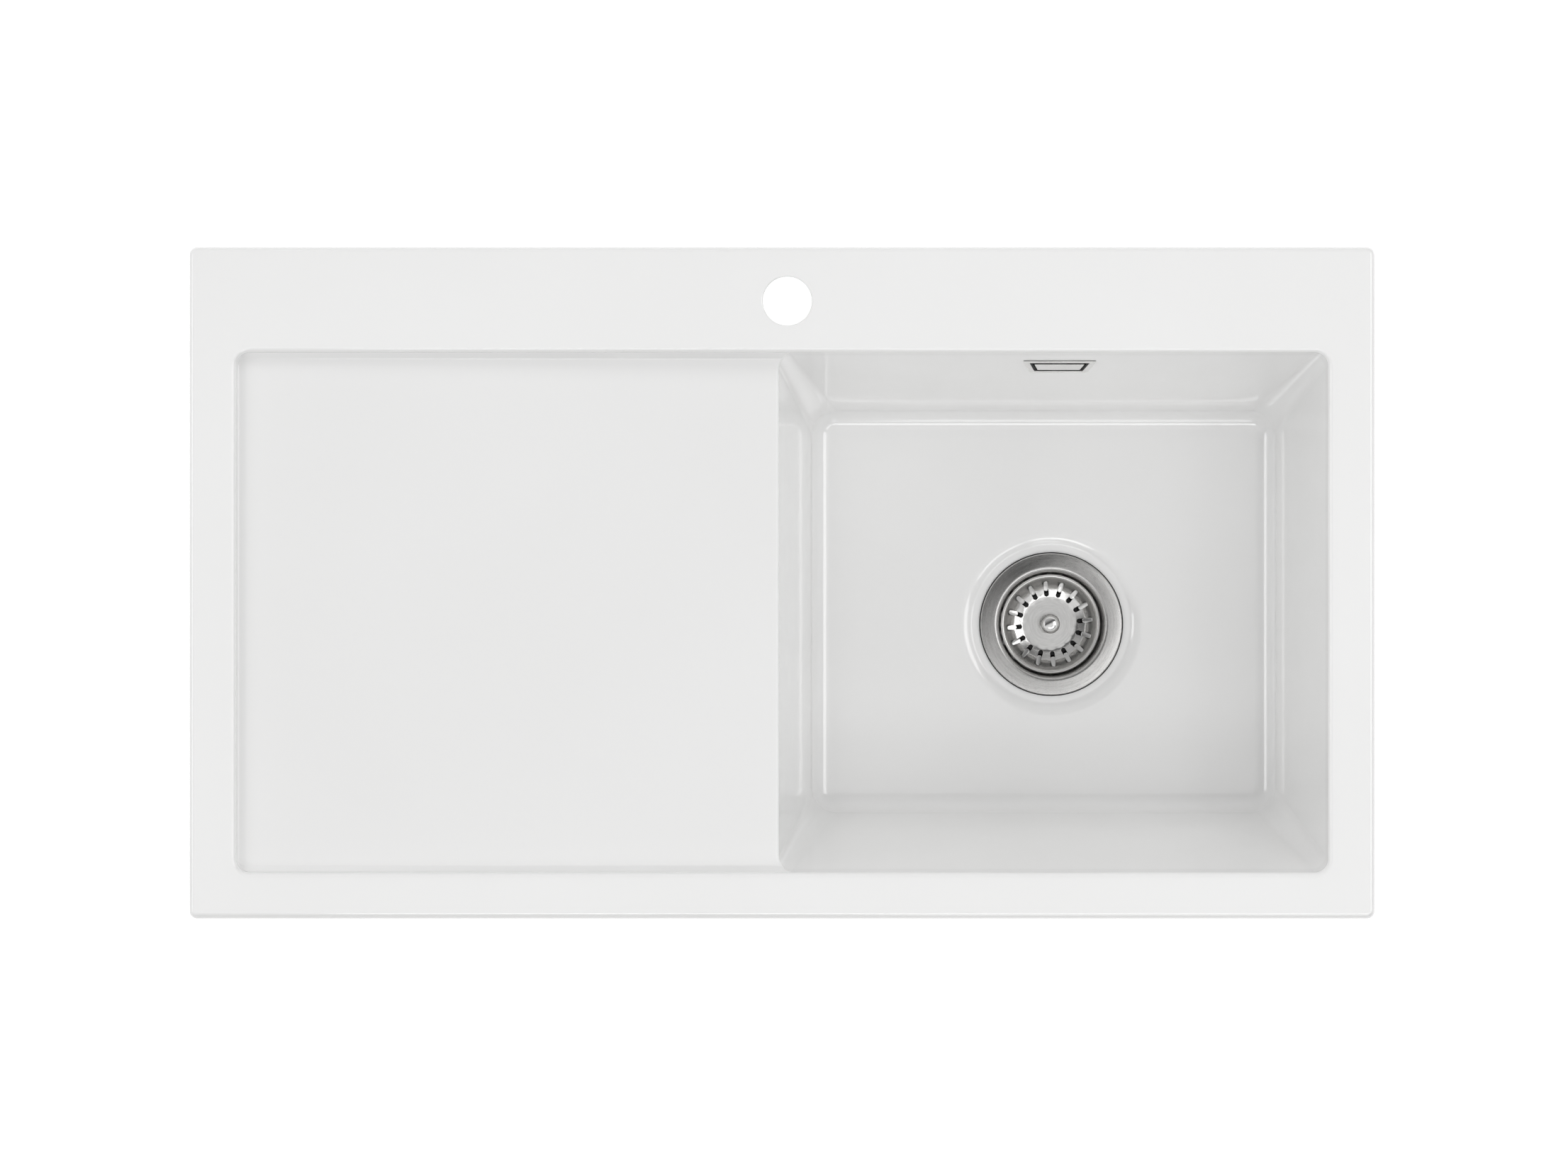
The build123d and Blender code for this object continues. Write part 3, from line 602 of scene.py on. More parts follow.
class Paint(NodeSheet):
    """The node sheet of one material, with its shader in place."""

    def __init__(self, name: str) -> None:
        """Makes the material and its shader."""
        self.material = bpy.data.materials.new(name)
        self.material.use_nodes = True
        super().__init__(self.material.node_tree)
        self.shader = self.add("ShaderNodeBsdfPrincipled")
        output = self.add("ShaderNodeOutputMaterial")
        self.link(self.shader.outputs[0], output.inputs[0])
        self.spot = self.add("ShaderNodeTexCoord").outputs["Object"]

    def set(self, **values: object) -> None:
        """Sets constants on the shader's own sockets; an underscore stands for a space."""
        for key, value in values.items():
            self.shader.inputs[key.replace("_", " ")].default_value = value

    def noise(
        self,
        scale: float,
        detail: float = 3.0,
        spot: bpy.types.NodeSocket | None = None,
    ) -> bpy.types.NodeSocket:
        """Adds a noise pattern.

        Args:
            scale: Cells per metre.
            detail: Octaves.
            spot: Coordinates, or None for the object's own.

        Returns:
            The pattern's value.
        """
        node = self.add("ShaderNodeTexNoise")
        node.inputs["Scale"].default_value = scale
        node.inputs["Detail"].default_value = detail
        self.link(spot or self.spot, node.inputs["Vector"])
        return node.outputs[0]

    def spread_to(self, value: bpy.types.NodeSocket, low: float, high: float) -> bpy.types.NodeSocket:
        """Maps the usual spread of a noise pattern onto a range of numbers.

        Args:
            value: The pattern.
            low: Result at its low values.
            high: Result at its high values.

        Returns:
            The result's socket.
        """
        node = self.add("ShaderNodeMapRange")
        node.inputs["From Min"].default_value = NOISE_LOW
        node.inputs["From Max"].default_value = NOISE_HIGH
        node.inputs["To Min"].default_value = low
        node.inputs["To Max"].default_value = high
        self.link(value, node.inputs["Value"])
        return node.outputs[0]

    def shade(self, value: bpy.types.NodeSocket, dark: Sequence[float], light: Sequence[float]) -> None:
        """Colours the surface between two shades by a pattern.

        Args:
            value: The pattern.
            dark: Linear colour at its low values.
            light: Linear colour at its high values.
        """
        ramp = self.add("ShaderNodeValToRGB")
        low, high = ramp.color_ramp.elements
        low.position, high.position = NOISE_LOW, NOISE_HIGH
        low.color, high.color = (*dark, 1), (*light, 1)
        self.link(value, ramp.inputs[0])
        self.link(ramp.outputs[0], self.shader.inputs["Base Color"])

    def tone(self, stops: Sequence[tuple[float, float]]) -> None:
        """Paints shade into the colour by height.

        Args:
            stops: Height in millimetres, and the share of the colour that is left there.
        """
        # painted shade: the colour is multiplied by a ramp over height
        low, high = stops[0][0] * MM, stops[-1][0] * MM
        parts = self.add("ShaderNodeSeparateXYZ")
        self.link(self.spot, parts.inputs[0])
        ramp = self.add("ShaderNodeValToRGB")
        marks = ramp.color_ramp.elements
        while len(marks) < len(stops):
            marks.new(1.0)
        for mark, (height, share) in zip(marks, stops):
            mark.position = (height * MM - low) / (high - low)
            mark.color = (share, share, share, 1)
        over = self.math("SUBTRACT", parts.outputs[2], low)
        self.link(self.math("DIVIDE", over, high - low), ramp.inputs[0])
        target = self.shader.inputs["Base Color"]
        colour = target.links[0].from_socket
        mix = self.add("ShaderNodeMix", data_type="RGBA", blend_type="MULTIPLY")
        factor, first, second = (mix.inputs[k] for k in MIX_INPUTS)
        factor.default_value = 1.0
        self.link(colour, first)
        self.link(ramp.outputs[0], second)
        self.link(mix.outputs[2], target)

    def rough(self, value: bpy.types.NodeSocket, low: float, high: float) -> None:
        """Varies the roughness by a pattern."""
        self.link(self.spread_to(value, low, high), self.shader.inputs["Roughness"])

    def bump(self, *layers: tuple[bpy.types.NodeSocket, float]) -> None:
        """Adds relief.

        Args:
            layers: Pattern and height in millimetres of each layer.
        """
        normal = None
        for value, height in layers:
            node = self.add("ShaderNodeBump")
            node.inputs["Strength"].default_value = 1.0
            node.inputs["Distance"].default_value = height * MM
            self.link(value, node.inputs["Height"])
            if normal is not None:
                self.link(normal, node.inputs["Normal"])
            normal = node.outputs[0]
        self.link(normal, self.shader.inputs["Normal"])

    def polar(self, x: float, y: float, radial: float, around: float) -> bpy.types.NodeSocket:
        """Coordinates that follow rings about an upright axis.

        Args:
            x: Axis, in millimetres.
            y: Axis, in millimetres.
            radial: Stretch across the rings.
            around: Stretch along the rings.

        Returns:
            The coordinates' socket.
        """
        shift = self.add("ShaderNodeMapping")
        shift.inputs["Location"].default_value = (-x * MM, -y * MM, 0)
        self.link(self.spot, shift.inputs["Vector"])
        parts = self.add("ShaderNodeSeparateXYZ")
        self.link(shift.outputs[0], parts.inputs[0])
        east, north, up = parts.outputs
        square = self.math("ADD", self.math("POWER", east, 2.0), self.math("POWER", north, 2.0))
        distance = self.math("SQRT", square)
        unit_x = self.math("DIVIDE", east, distance)
        unit_y = self.math("DIVIDE", north, distance)
        joined = self.add("ShaderNodeCombineXYZ")
        reach = self.math("MULTIPLY", self.math("ADD", distance, up), radial)
        self.link(self.math("MULTIPLY", unit_x, around), joined.inputs[0])
        self.link(self.math("MULTIPLY", unit_y, around), joined.inputs[1])
        self.link(reach, joined.inputs[2])
        return joined.outputs[0]


@dataclass(frozen=True)
class Glaze:
    """White gloss glaze, a little uneven as fired glaze is."""

    name: str = "white_glaze"
    dark: tuple[float, float, float] = (0.890, 0.889, 0.884)
    light: tuple[float, float, float] = (0.908, 0.908, 0.904)
    # painted shade: heights in millimetres and the share of colour left there, darkening the drainer's recess
    painted_recess_shade: tuple[tuple[float, float], ...] = ((-2.0, 1.0), (1.0, 0.955), (6.0, 0.955), (9.0, 1.0))

    def make(self) -> bpy.types.Material:
        """Builds the material, with painted shade that makes it a touch darker at the height of the drainer's
        recessed floor.
        """
        paint = Paint(self.name)
        paint.set(IOR=1.55, Coat_Weight=0.9, Coat_Roughness=0.05)
        broad = paint.noise(4.0, 2.0)
        paint.shade(broad, self.dark, self.light)
        # painted shade: darker at the height of the drainer's recessed floor
        paint.tone(self.painted_recess_shade)
        paint.rough(paint.noise(30.0), 0.09, 0.16)
        paint.bump((paint.noise(14.0, 1.0), 0.12), (paint.noise(420.0, 2.0), 0.0025))
        return paint.material


@dataclass(frozen=True)
class BareClay:
    """Unglazed fired clay under the rim."""

    name: str = "bare_clay"
    dark: tuple[float, float, float] = (0.60, 0.565, 0.50)
    light: tuple[float, float, float] = (0.70, 0.67, 0.61)

    def make(self) -> bpy.types.Material:
        """Builds the material."""
        paint = Paint(self.name)
        grain = paint.noise(900.0, 4.0)
        paint.shade(paint.noise(60.0, 4.0), self.dark, self.light)
        paint.rough(grain, 0.75, 0.9)
        paint.bump((grain, 0.08))
        return paint.material


@dataclass(frozen=True)
class RingBrushedSteel:
    """Stainless steel brushed in rings about an upright axis."""

    name: str
    x: float
    y: float
    dark: tuple[float, float, float] = (0.52, 0.513, 0.505)
    light: tuple[float, float, float] = (0.63, 0.623, 0.614)
    smooth: float = 0.25
    coarse: float = 0.33
    relief: float = 0.004
    anisotropic: float = 0.75
    # painted shade: heights and the share of colour left there
    painted_shade: tuple[tuple[float, float], ...] = ()

    def make(self) -> bpy.types.Material:
        """Builds the material."""
        paint = Paint(self.name)
        paint.set(Metallic=1.0, Anisotropic=self.anisotropic)
        fine = paint.noise(1.0, 2.0, paint.polar(self.x, self.y, 5200.0, 9.0))
        broad = paint.noise(1.0, 3.0, paint.polar(self.x, self.y, 900.0, 2.0))
        paint.shade(broad, self.dark, self.light)
        # painted shade: darker by height where it is given
        if self.painted_shade:
            paint.tone(self.painted_shade)
        paint.rough(fine, self.smooth, self.coarse)
        paint.bump((fine, self.relief))
        tangent = paint.add("ShaderNodeTangent", direction_type="RADIAL", axis="Z")
        paint.link(tangent.outputs[0], paint.shader.inputs["Tangent"])
        return paint.material


@dataclass(frozen=True)
class LineBrushedSteel:
    """Stainless steel brushed in straight lines along X."""

    name: str
    dark: tuple[float, float, float] = (0.52, 0.51, 0.50)
    light: tuple[float, float, float] = (0.68, 0.67, 0.66)
    smooth: float = 0.2
    coarse: float = 0.32

    def make(self) -> bpy.types.Material:
        """Builds the material."""
        paint = Paint(self.name)
        paint.set(Metallic=1.0)
        stretch = paint.add("ShaderNodeMapping")
        stretch.inputs["Scale"].default_value = (90.0, 4200.0, 4200.0)
        paint.link(paint.spot, stretch.inputs["Vector"])
        lines = paint.noise(1.0, 2.0, stretch.outputs[0])
        paint.shade(lines, self.dark, self.light)
        paint.rough(lines, self.smooth, self.coarse)
        paint.bump((lines, 0.004))
        return paint.material


@dataclass(frozen=True)
class MirrorSteel:
    """Polished steel with faint smears."""

    name: str = "mirror_steel"
    dark: tuple[float, float, float] = (0.80, 0.795, 0.785)
    light: tuple[float, float, float] = (0.86, 0.855, 0.845)

    def make(self) -> bpy.types.Material:
        """Builds the material."""
        paint = Paint(self.name)
        paint.set(Metallic=1.0)
        smear = paint.noise(160.0, 3.0)
        paint.shade(smear, self.dark, self.light)
        paint.rough(smear, 0.1, 0.18)
        paint.bump((paint.noise(700.0, 2.0), 0.001))
        return paint.material


@dataclass(frozen=True)
class Rubber:
    """Black moulded rubber with a dull bloom."""

    name: str = "seal_rubber"
    dark: tuple[float, float, float] = (0.010, 0.010, 0.010)
    light: tuple[float, float, float] = (0.026, 0.026, 0.027)

    def make(self) -> bpy.types.Material:
        """Builds the material."""
        paint = Paint(self.name)
        paint.set(Specular_IOR_Level=0.35)
        bloom = paint.noise(240.0, 4.0)
        paint.shade(bloom, self.dark, self.light)
        paint.rough(bloom, 0.55, 0.8)
        paint.bump((paint.noise(1500.0, 2.0), 0.02))
        return paint.material


@dataclass(frozen=True)
class MouldedPlastic:
    """Matt moulded plastic with a fine grain."""

    name: str
    dark: tuple[float, float, float]
    light: tuple[float, float, float]
    smooth: float = 0.36
    coarse: float = 0.52
    grain: float = 0.015

    def make(self) -> bpy.types.Material:
        """Builds the material."""
        paint = Paint(self.name)
        paint.set(IOR=1.49)
        paint.shade(paint.noise(35.0, 3.0), self.dark, self.light)
        paint.rough(paint.noise(120.0, 3.0), self.smooth, self.coarse)
        paint.bump((paint.noise(1800.0, 2.0), self.grain))
        return paint.material


@dataclass(frozen=True)
class TurnedBrass:
    """Brass with turning marks and a slight tarnish."""

    name: str
    x: float
    y: float
    dark: tuple[float, float, float] = (0.52, 0.36, 0.13)
    light: tuple[float, float, float] = (0.70, 0.50, 0.21)

    def make(self) -> bpy.types.Material:
        """Builds the material."""
        paint = Paint(self.name)
        paint.set(Metallic=1.0)
        lines = paint.noise(1.0, 2.0, paint.polar(self.x, self.y, 3000.0, 4.0))
        paint.shade(paint.noise(180.0, 3.0), self.dark, self.light)
        paint.rough(lines, 0.2, 0.36)
        paint.bump((lines, 0.004))
        return paint.material


# Sub-assemblies


@dataclass
class OverflowFace:
    """The slanted plane of the bowl's back wall that carries the overflow."""

    x: float = DRAIN_X
    y: float = 166.057
    z: float = -32.0
    lean: float = math.atan2(WALL_RUN, WALL_DROP)
    top: float = 56.0
    bottom: float = 44.0
    height: float = 33.0

    def point(self, across: float, up: float, out: float) -> Vector:
        """A point by its place on the wall.

        Args:
            across: To the right of the middle.
            up: Up the wall from the middle.
            out: Off the wall, into the bowl.

        Returns:
            The point.
        """
        sine, cosine = math.sin(self.lean), math.cos(self.lean)
        return Vector((self.x + across, self.y + up * sine - out * cosine, self.z + up * cosine + out * sine))

    def squeezed(self, by: float) -> "OverflowFace":
        """The same face with its top and bottom moved in by so much."""
        share = 1 - 2 * by / self.height
        middle, flare = (self.top + self.bottom) / 2, (self.top - self.bottom) / 2 * share
        return replace(self, height=self.height * share, top=middle + flare, bottom=middle - flare)

    def outline(self, inset: float, corner_r: float, out: float, steps: int = 5) -> list[Vector]:
        """The cover's rounded trapezoid, set in from its outer edge.

        Args:
            inset: How far it is set in.
            corner_r: Radius of its corners.
            out: Height over the wall.
            steps: Segments of each corner.

        Returns:
            The points, all the way round.
        """
        slope = (self.top - self.bottom) / 2 / self.height
        half = self.height / 2 - inset
        middle = (self.top + self.bottom) / 4 - math.hypot(1, slope) * inset
        low, high = middle - slope * half, middle + slope * half
        corners = [Vector((-low, -half)), Vector((low, -half)), Vector((high, half)), Vector((-high, half))]
        points = []
        for k, corner in enumerate(corners):
            before, after = corners[k - 1], corners[(k + 1) % 4]
            points.extend(arc_between(corner, before - corner, after - corner, corner_r, steps))
        return [self.point(spot[0], spot[1], out) for spot in points]


@dataclass
class CeramicBasin:
    """The one-piece casting: rim, tap ledge, drainer, bowl and the ribs under the drainer."""

    length: float = 900.0
    width: float = 510.0
    plan_corner_r: float = 6.0
    side_rim: float = 35.5
    tap_ledge: float = 80.0
    recess_corner_r: float = 10.5
    bowl_length: float = 418.0
    seat_width: float = 18.0
    seat_corner_r: float = 14.0
    rim_height: float = 12.0
    rim_edge_r: float = 4.0
    rim_foot: float = 0.6
    front_edge_r: float = 5.5
    step: float = 4.5
    recess_edge_r: float = 4.0
    drainer_depth_end: float = 7.0
    drainer_depth_bowl: float = 10.0
    drainer_run: float = 4.5
    drainer_end_run: float = 1.0
    drainer_fillet_r: float = 2.0
    drainer_end_blend: float = 60.0
    crease_r: float = 0.8
    crease_fade: float = 3.0
    crease_least: float = 0.01
    crease_steps: int = 3
    divider_r: float = 2.0
    divider_least_r: float = 0.05
    divider_steps: int = 6
    divider_margin: float = 12.0
    slab_z: float = -10.0
    slab_edge_r: float = 3.0
    bowl_depth: float = 190.0
    side_run: float = 28.5
    long_run: float = WALL_RUN
    wall: float = 12.0
    floor_thickness: float = 14.0
    floor_corner_r: float = 20.0
    floor_fillet_r: float = 16.0
    outer_floor_r: float = 24.0
    root_r: float = 5.0
    tap_x: float = 4.0
    tap_y: float = 214.0
    tap_r: float = 18.5
    tap_lip_r: float = 1.5
    tap_foot_r: float = 0.8
    drain_x: float = DRAIN_X
    drain_y: float = DRAIN_Y
    drain_r: float = 45.0
    dish_r: float = 68.0
    dish_foot_r: float = 62.8
    dish_depth: float = 3.0
    dish_radii: tuple[float, ...] = (17.0, 5.0, 1.2, 1.0)
    hole_inset: float = 3.2
    hole_corner_r: float = 1.5
    window: tuple[float, float] = (172.0, 252.0)
    window_z: tuple[float, float] = (-8.0, -60.0)
    outer_window_z: tuple[float, float] = (-16.0, -64.0)
    rib_count: int = 5
    rib_width: float = 14.0
    rib_height: float = 8.0
    rib_inset: float = 20.0
    rib_spread: float = 6.0
    rib_overlap: float = 0.5
    rib_taper: float = 1.0
    rib_ridge: float = 0.5
    rib_radii: tuple[float, float] = (4.0, 3.0)
    side_points: int = 15
    bowl_points: int = 8
    drainer_points: int = 16
    rim_points: int = 25
    edge_rows: int = 10
    face: OverflowFace = field(default_factory=OverflowFace)

    def __post_init__(self) -> None:
        """Works out the places that several patches share."""
        self.recess_y = (self.side_rim - self.tap_ledge) / 2
        half_y = (self.width - self.side_rim - self.tap_ledge) / 2
        self.recess = RoundedBox(
            0.0, self.recess_y, self.length / 2 - self.side_rim, half_y, self.recess_corner_r
        )
        self.bowl_x = self.recess.half_x - self.bowl_length / 2
        self.divider_x = self.recess.half_x - self.bowl_length
        self.step_z = self.rim_height - self.step
        self.edge_z = self.rim_height - self.recess_edge_r
        self.floor_z = self.rim_height - self.bowl_depth
        self.under_z = self.floor_z - self.floor_thickness
        self.side_slope = self.side_run / (self.bowl_depth - self.step)
        self.long_slope = self.long_run / (self.bowl_depth - self.step)
        straight = (self.divider_x + self.recess_corner_r, self.recess.half_x - self.recess_corner_r)
        low, high = self.window
        bowl_xs = [*spread(straight[0], low, self.bowl_points), *spread(high, straight[1], self.bowl_points)]
        shares = [(x - straight[0]) / (straight[1] - straight[0]) for x in bowl_xs]
        self.bowl_plan = self.side_plan(shares)
        self.edge_points = self.divider_edge()
        self.recess_xs = self.recess_stations(bowl_xs)
        reach = self.recess.half_x - self.recess_corner_r
        shares = [(x + reach) / (2 * reach) for x in self.recess_xs]
        self.recess_plan = self.side_plan(shares)

    def side_plan(self, shares: Sequence[float]) -> RingPlan:
        """A plan with the same places on the front and the back, and even ones on the sides."""
        sides = tuple(spread(0.0, 1.0, self.side_points))
        return RingPlan(tuple(shares), sides, tuple(1 - share for share in reversed(shares)), sides)

    def bowl_at(self, z: float, grow: float = 0.0) -> RoundedBox:
        """The bowl's inner wall at one height.

        Args:
            z: Height.
            grow: Wall to add all round.

        Returns:
            The rounded rectangle there.
        """
        down = self.step_z - z
        corner_r = self.recess_corner_r + (self.floor_corner_r - self.recess_corner_r) * down / (
            self.bowl_depth - self.step
        )
        half_x = self.bowl_length / 2 + grow - self.side_slope * down
        half_y = self.recess.half_y + grow - self.long_slope * down
        return RoundedBox(self.bowl_x, self.recess_y, half_x, half_y, corner_r + grow)

    def drainer_floor(self, x: float) -> float:
        """Height of the drainer's floor, which falls towards the bowl."""
        share = (x + self.recess.half_x) / (self.divider_x + self.recess.half_x)
        depth = self.drainer_depth_end + (self.drainer_depth_bowl - self.drainer_depth_end) * share
        return self.rim_height - depth

    def drainer_height(self, x: float, y: float) -> float:
        """Height of the drainer's surface, its long walls and their fillets included."""
        floor = self.drainer_floor(x)
        inward = self.recess.half_y - abs(y - self.recess_y)
        drop = self.step_z - floor
        lean = math.atan2(drop, self.drainer_run)
        reach = self.drainer_fillet_r * math.tan(lean / 2)
        if inward >= self.drainer_run + reach:
            return floor
        if inward <= self.drainer_run - reach * math.cos(lean):
            return self.step_z - drop * max(inward, 0.0) / self.drainer_run
        off = inward - self.drainer_run - reach
        return floor + self.drainer_fillet_r - math.sqrt(self.drainer_fillet_r**2 - off**2)

    def divider_edge(self) -> list[list[Vector]]:
        """Rounds the edge where the bowl's left wall cuts the drainer.

        Returns:
            For each place along the bowl's left side, from back to front, the points from the drainer's
            surface over the edge to the bowl's wall.
        """
        top = self.bowl_at(self.step_z)
        points, outward = top.walk(self.bowl_plan)
        lower = self.bowl_at(self.floor_z).walk(self.bowl_plan)[0]
        first = self.bowl_plan.starts()[2] + len(self.bowl_plan.back) - 1
        places = [*range(first, len(points)), 0]
        edges = []
        for k in places:
            start = points[k] + Vector((0, 0, self.step_z))
            fall = lower[k] + Vector((0, 0, self.floor_z)) - start
            if abs(outward[k].x) < TINY:
                edges.append([start.copy() for _ in range(self.divider_steps + 1)])
                continue
            near, far = 0.0, 0.1
            for _ in range(HALVINGS):
                share = (near + far) / 2
                spot = start + fall * share
                if spot.z > self.drainer_height(spot.x, spot.y):
                    near = share
                else:
                    far = share
            edge = start + fall * near
            beyond = edge + outward[k]
            beyond.z = self.drainer_height(beyond.x, beyond.y)
            radius = max(self.divider_r * abs(outward[k].x), self.divider_least_r)
            arc = arc_between(edge, beyond - edge, fall, radius, self.divider_steps)
            reach = max(-self.recess.half_y, min(self.recess.half_y, arc[0].y - self.recess_y))
            arc[0].y = self.recess_y + reach
            arc[0].z = self.drainer_height(arc[0].x, arc[0].y)
            edges.append(arc)
        return edges

    def on_wall(self, spot: Vector) -> bool:
        """Whether a point of the drainer lies on its long wall or the fillet at its foot."""
        return spot.z > self.drainer_floor(spot.x) + FLAT

    def recess_stations(self, bowl_xs: Sequence[float]) -> list[float]:
        """Places along the recess's long sides where its rings have points.

        Args:
            bowl_xs: Places along the bowl.

        Returns:
            Places from left to right.
        """
        left = self.recess_corner_r - self.recess.half_x
        corner = [edge[0] for edge in self.edge_points[1 : self.bowl_plan.corner]]
        self.joins = sorted(spot.x for spot in corner if self.on_wall(spot))
        right = self.divider_x - self.divider_margin
        return [*spread(left, right, self.drainer_points), *self.joins, *bowl_xs]

    def drainer_columns(self) -> list[list[Vector]]:
        """Lines down the drainer's walls, from the bowl's back corner round the left end to the front one.

        Returns:
            The columns, each from the recess's edge to the floor.
        """
        box = self.recess
        left = box.corner_r - box.half_x
        low_r = box.corner_r - self.drainer_run
        low_left = self.drainer_end_run - box.half_x + low_r
        cuts = {round(edge[0].x, 6): edge[0] for edge in self.edge_points[: self.bowl_plan.corner]}
        places: list[tuple[Vector, Vector, Vector | None]] = []
        half_y = box.half_y
        long_side = [x for x in self.recess_xs if x <= self.divider_x + box.corner_r + TINY]
        for x in reversed(long_side):
            shift = (low_left - left) * max(0.0, 1.0 - (x - left) / self.drainer_end_blend)
            foot = Vector((x + shift, half_y - self.drainer_run))
            places.append((Vector((x, half_y)), foot, cuts.get(round(x, 6))))
        steps = self.recess_plan.corner
        for step in range(1, steps):
            way = Vector((-math.sin(math.pi / 2 * step / steps), math.cos(math.pi / 2 * step / steps)))
            pivot = Vector((left, half_y - box.corner_r))
            low_pivot = Vector((low_left, half_y - box.corner_r))
            places.append((pivot + way * box.corner_r, low_pivot + way * low_r, None))
        for fraction in self.recess_plan.left:
            y = (half_y - box.corner_r) * (1 - 2 * fraction)
            places.append((Vector((-box.half_x, y)), Vector((self.drainer_end_run - box.half_x, y)), None))
        mirrored = [
            (Vector((a.x, -a.y)), Vector((b.x, -b.y)), cut)
            for a, b, cut in reversed(places[: len(long_side) + steps - 1])
        ]
        return [self.drainer_column(*spot) for spot in [*places, *mirrored]]

    def drainer_column(self, edge: Vector, foot: Vector, cut: Vector | None) -> list[Vector]:
        """One line down the drainer's wall.

        Args:
            edge: Place on the recess's edge, from above, from the recess's middle line.
            foot: Place of the wall's foot, from above, from the recess's middle line.
            cut: Point where the bowl cuts the line off, or None.

        Returns:
            The line's points.
        """
        high = Vector((edge.x, edge.y + self.recess_y, self.step_z))
        low = Vector((foot.x, foot.y + self.recess_y, self.drainer_floor(foot.x)))
        inner = low + (low - high) * Vector((1, 1, 0)).length
        inner.z = self.drainer_floor(inner.x)
        fade = 1.0
        if cut is not None:
            fade = min(1.0, (high.z - cut.z) / self.crease_fade)
        crease = [high.copy() for _ in range(self.crease_steps + 1)]
        if fade > self.crease_least:
            up = Vector((0, 0, 1))
            crease = arc_between(high, up, low - high, self.crease_r * fade, self.crease_steps)
        line = [Vector((high.x, high.y, self.edge_z)), *crease]
        line.extend(arc_between(low, high - low, inner - low, self.drainer_fillet_r, steps=5))
        if cut is not None:
            side = 1.0 if edge.y > 0 else -1.0
            end = Vector((cut.x, self.recess_y + side * abs(cut.y - self.recess_y), cut.z))
            reach = abs(high.y - end.y)
            kept = [spot if abs(high.y - spot.y) < reach - TINY else end for spot in line[1:]]
            line = [line[0], *kept]
        return line

    def draw_rim(self, draft: Draft) -> None:
        """Adds the rim's seat, outer edge and flat top, and the tap hole."""
        even = tuple(spread(0.0, 1.0, self.rim_points))
        plan = RingPlan(even, even, even, even, corner=12)
        box = RoundedBox(0.0, 0.0, self.length / 2, self.width / 2, self.plan_corner_r)
        points, outward = box.walk(plan)
        rows = [
            [p - n * self.rim_foot for p, n in zip(points, outward)],
            [p + Vector((0, 0, self.rim_foot)) for p in points],
        ]
        for turn in spread(0.0, math.pi / 2, self.edge_rows):
            row = []
            for p, n in zip(points, outward):
                radius = self.rim_edge_r + (self.front_edge_r - self.rim_edge_r) * max(0.0, -n.y) ** 2
                height = self.rim_height - radius * (1 - math.sin(turn))
                row.append(p - n * (radius * (1 - math.cos(turn))) + Vector((0, 0, height)))
            rows.append(row)
        draft.loft(rows)
        lip = rounded_path(
            [
                (self.tap_r + RUN_OUT, self.rim_height),
                (self.tap_r, self.rim_height),
                (self.tap_r, self.slab_z),
                (self.tap_r + RUN_OUT, self.slab_z),
            ],
            [self.tap_lip_r, self.tap_foot_r],
            steps=6,
        )[1:-1]
        draft.revolve(lip, self.tap_x, self.tap_y, SMALL_ROUND)
        upper = circle(self.tap_x, self.tap_y, lip[0][0], self.rim_height, SMALL_ROUND)
        lower = circle(self.tap_x, self.tap_y, lip[-1][0], self.slab_z, SMALL_ROUND)
        inner = self.recess.grown(self.recess_edge_r).ring(self.recess_plan, self.rim_height)
        draft.fill(rows[-1], [inner, upper])
        seat = RoundedBox(
            0.0,
            0.0,
            self.length / 2 - self.seat_width,
            self.width / 2 - self.seat_width,
            self.seat_corner_r,
        )
        draft.fill(rows[0], [seat.ring(plan, 0.0)], finish=1)
        slab = [seat.ring(plan, 0.0)]
        for turn in spread(0.0, math.pi / 2, count=6):
            inset = self.slab_edge_r * (1 - math.cos(turn))
            height = self.slab_z + self.slab_edge_r * (1 - math.sin(turn))
            slab.append(seat.grown(-inset).ring(plan, height))
        draft.loft(slab)
        draft.fill(slab[-1], [self.outer_root[0], lower])

    def draw_recess(self, draft: Draft) -> None:
        """Adds the rounded edge of the recess and the drainer."""
        rows = []
        for turn in spread(0.0, math.pi / 2, self.edge_rows):
            grow = self.recess_edge_r * (1 - math.sin(turn))
            height = self.edge_z + self.recess_edge_r * math.cos(turn)
            rows.append(self.recess.grown(grow).ring(self.recess_plan, height))
        draft.loft(rows)
        columns = self.drainer_columns()
        draft.loft(columns, closed=False)
        cut = len(self.joins)
        floor = [column[-1] for column in columns[cut : len(columns) - cut]]
        corner = [edge[0] for edge in self.edge_points]
        floor.extend(spot for spot in reversed(corner) if not self.on_wall(spot))
        draft.fill(floor)

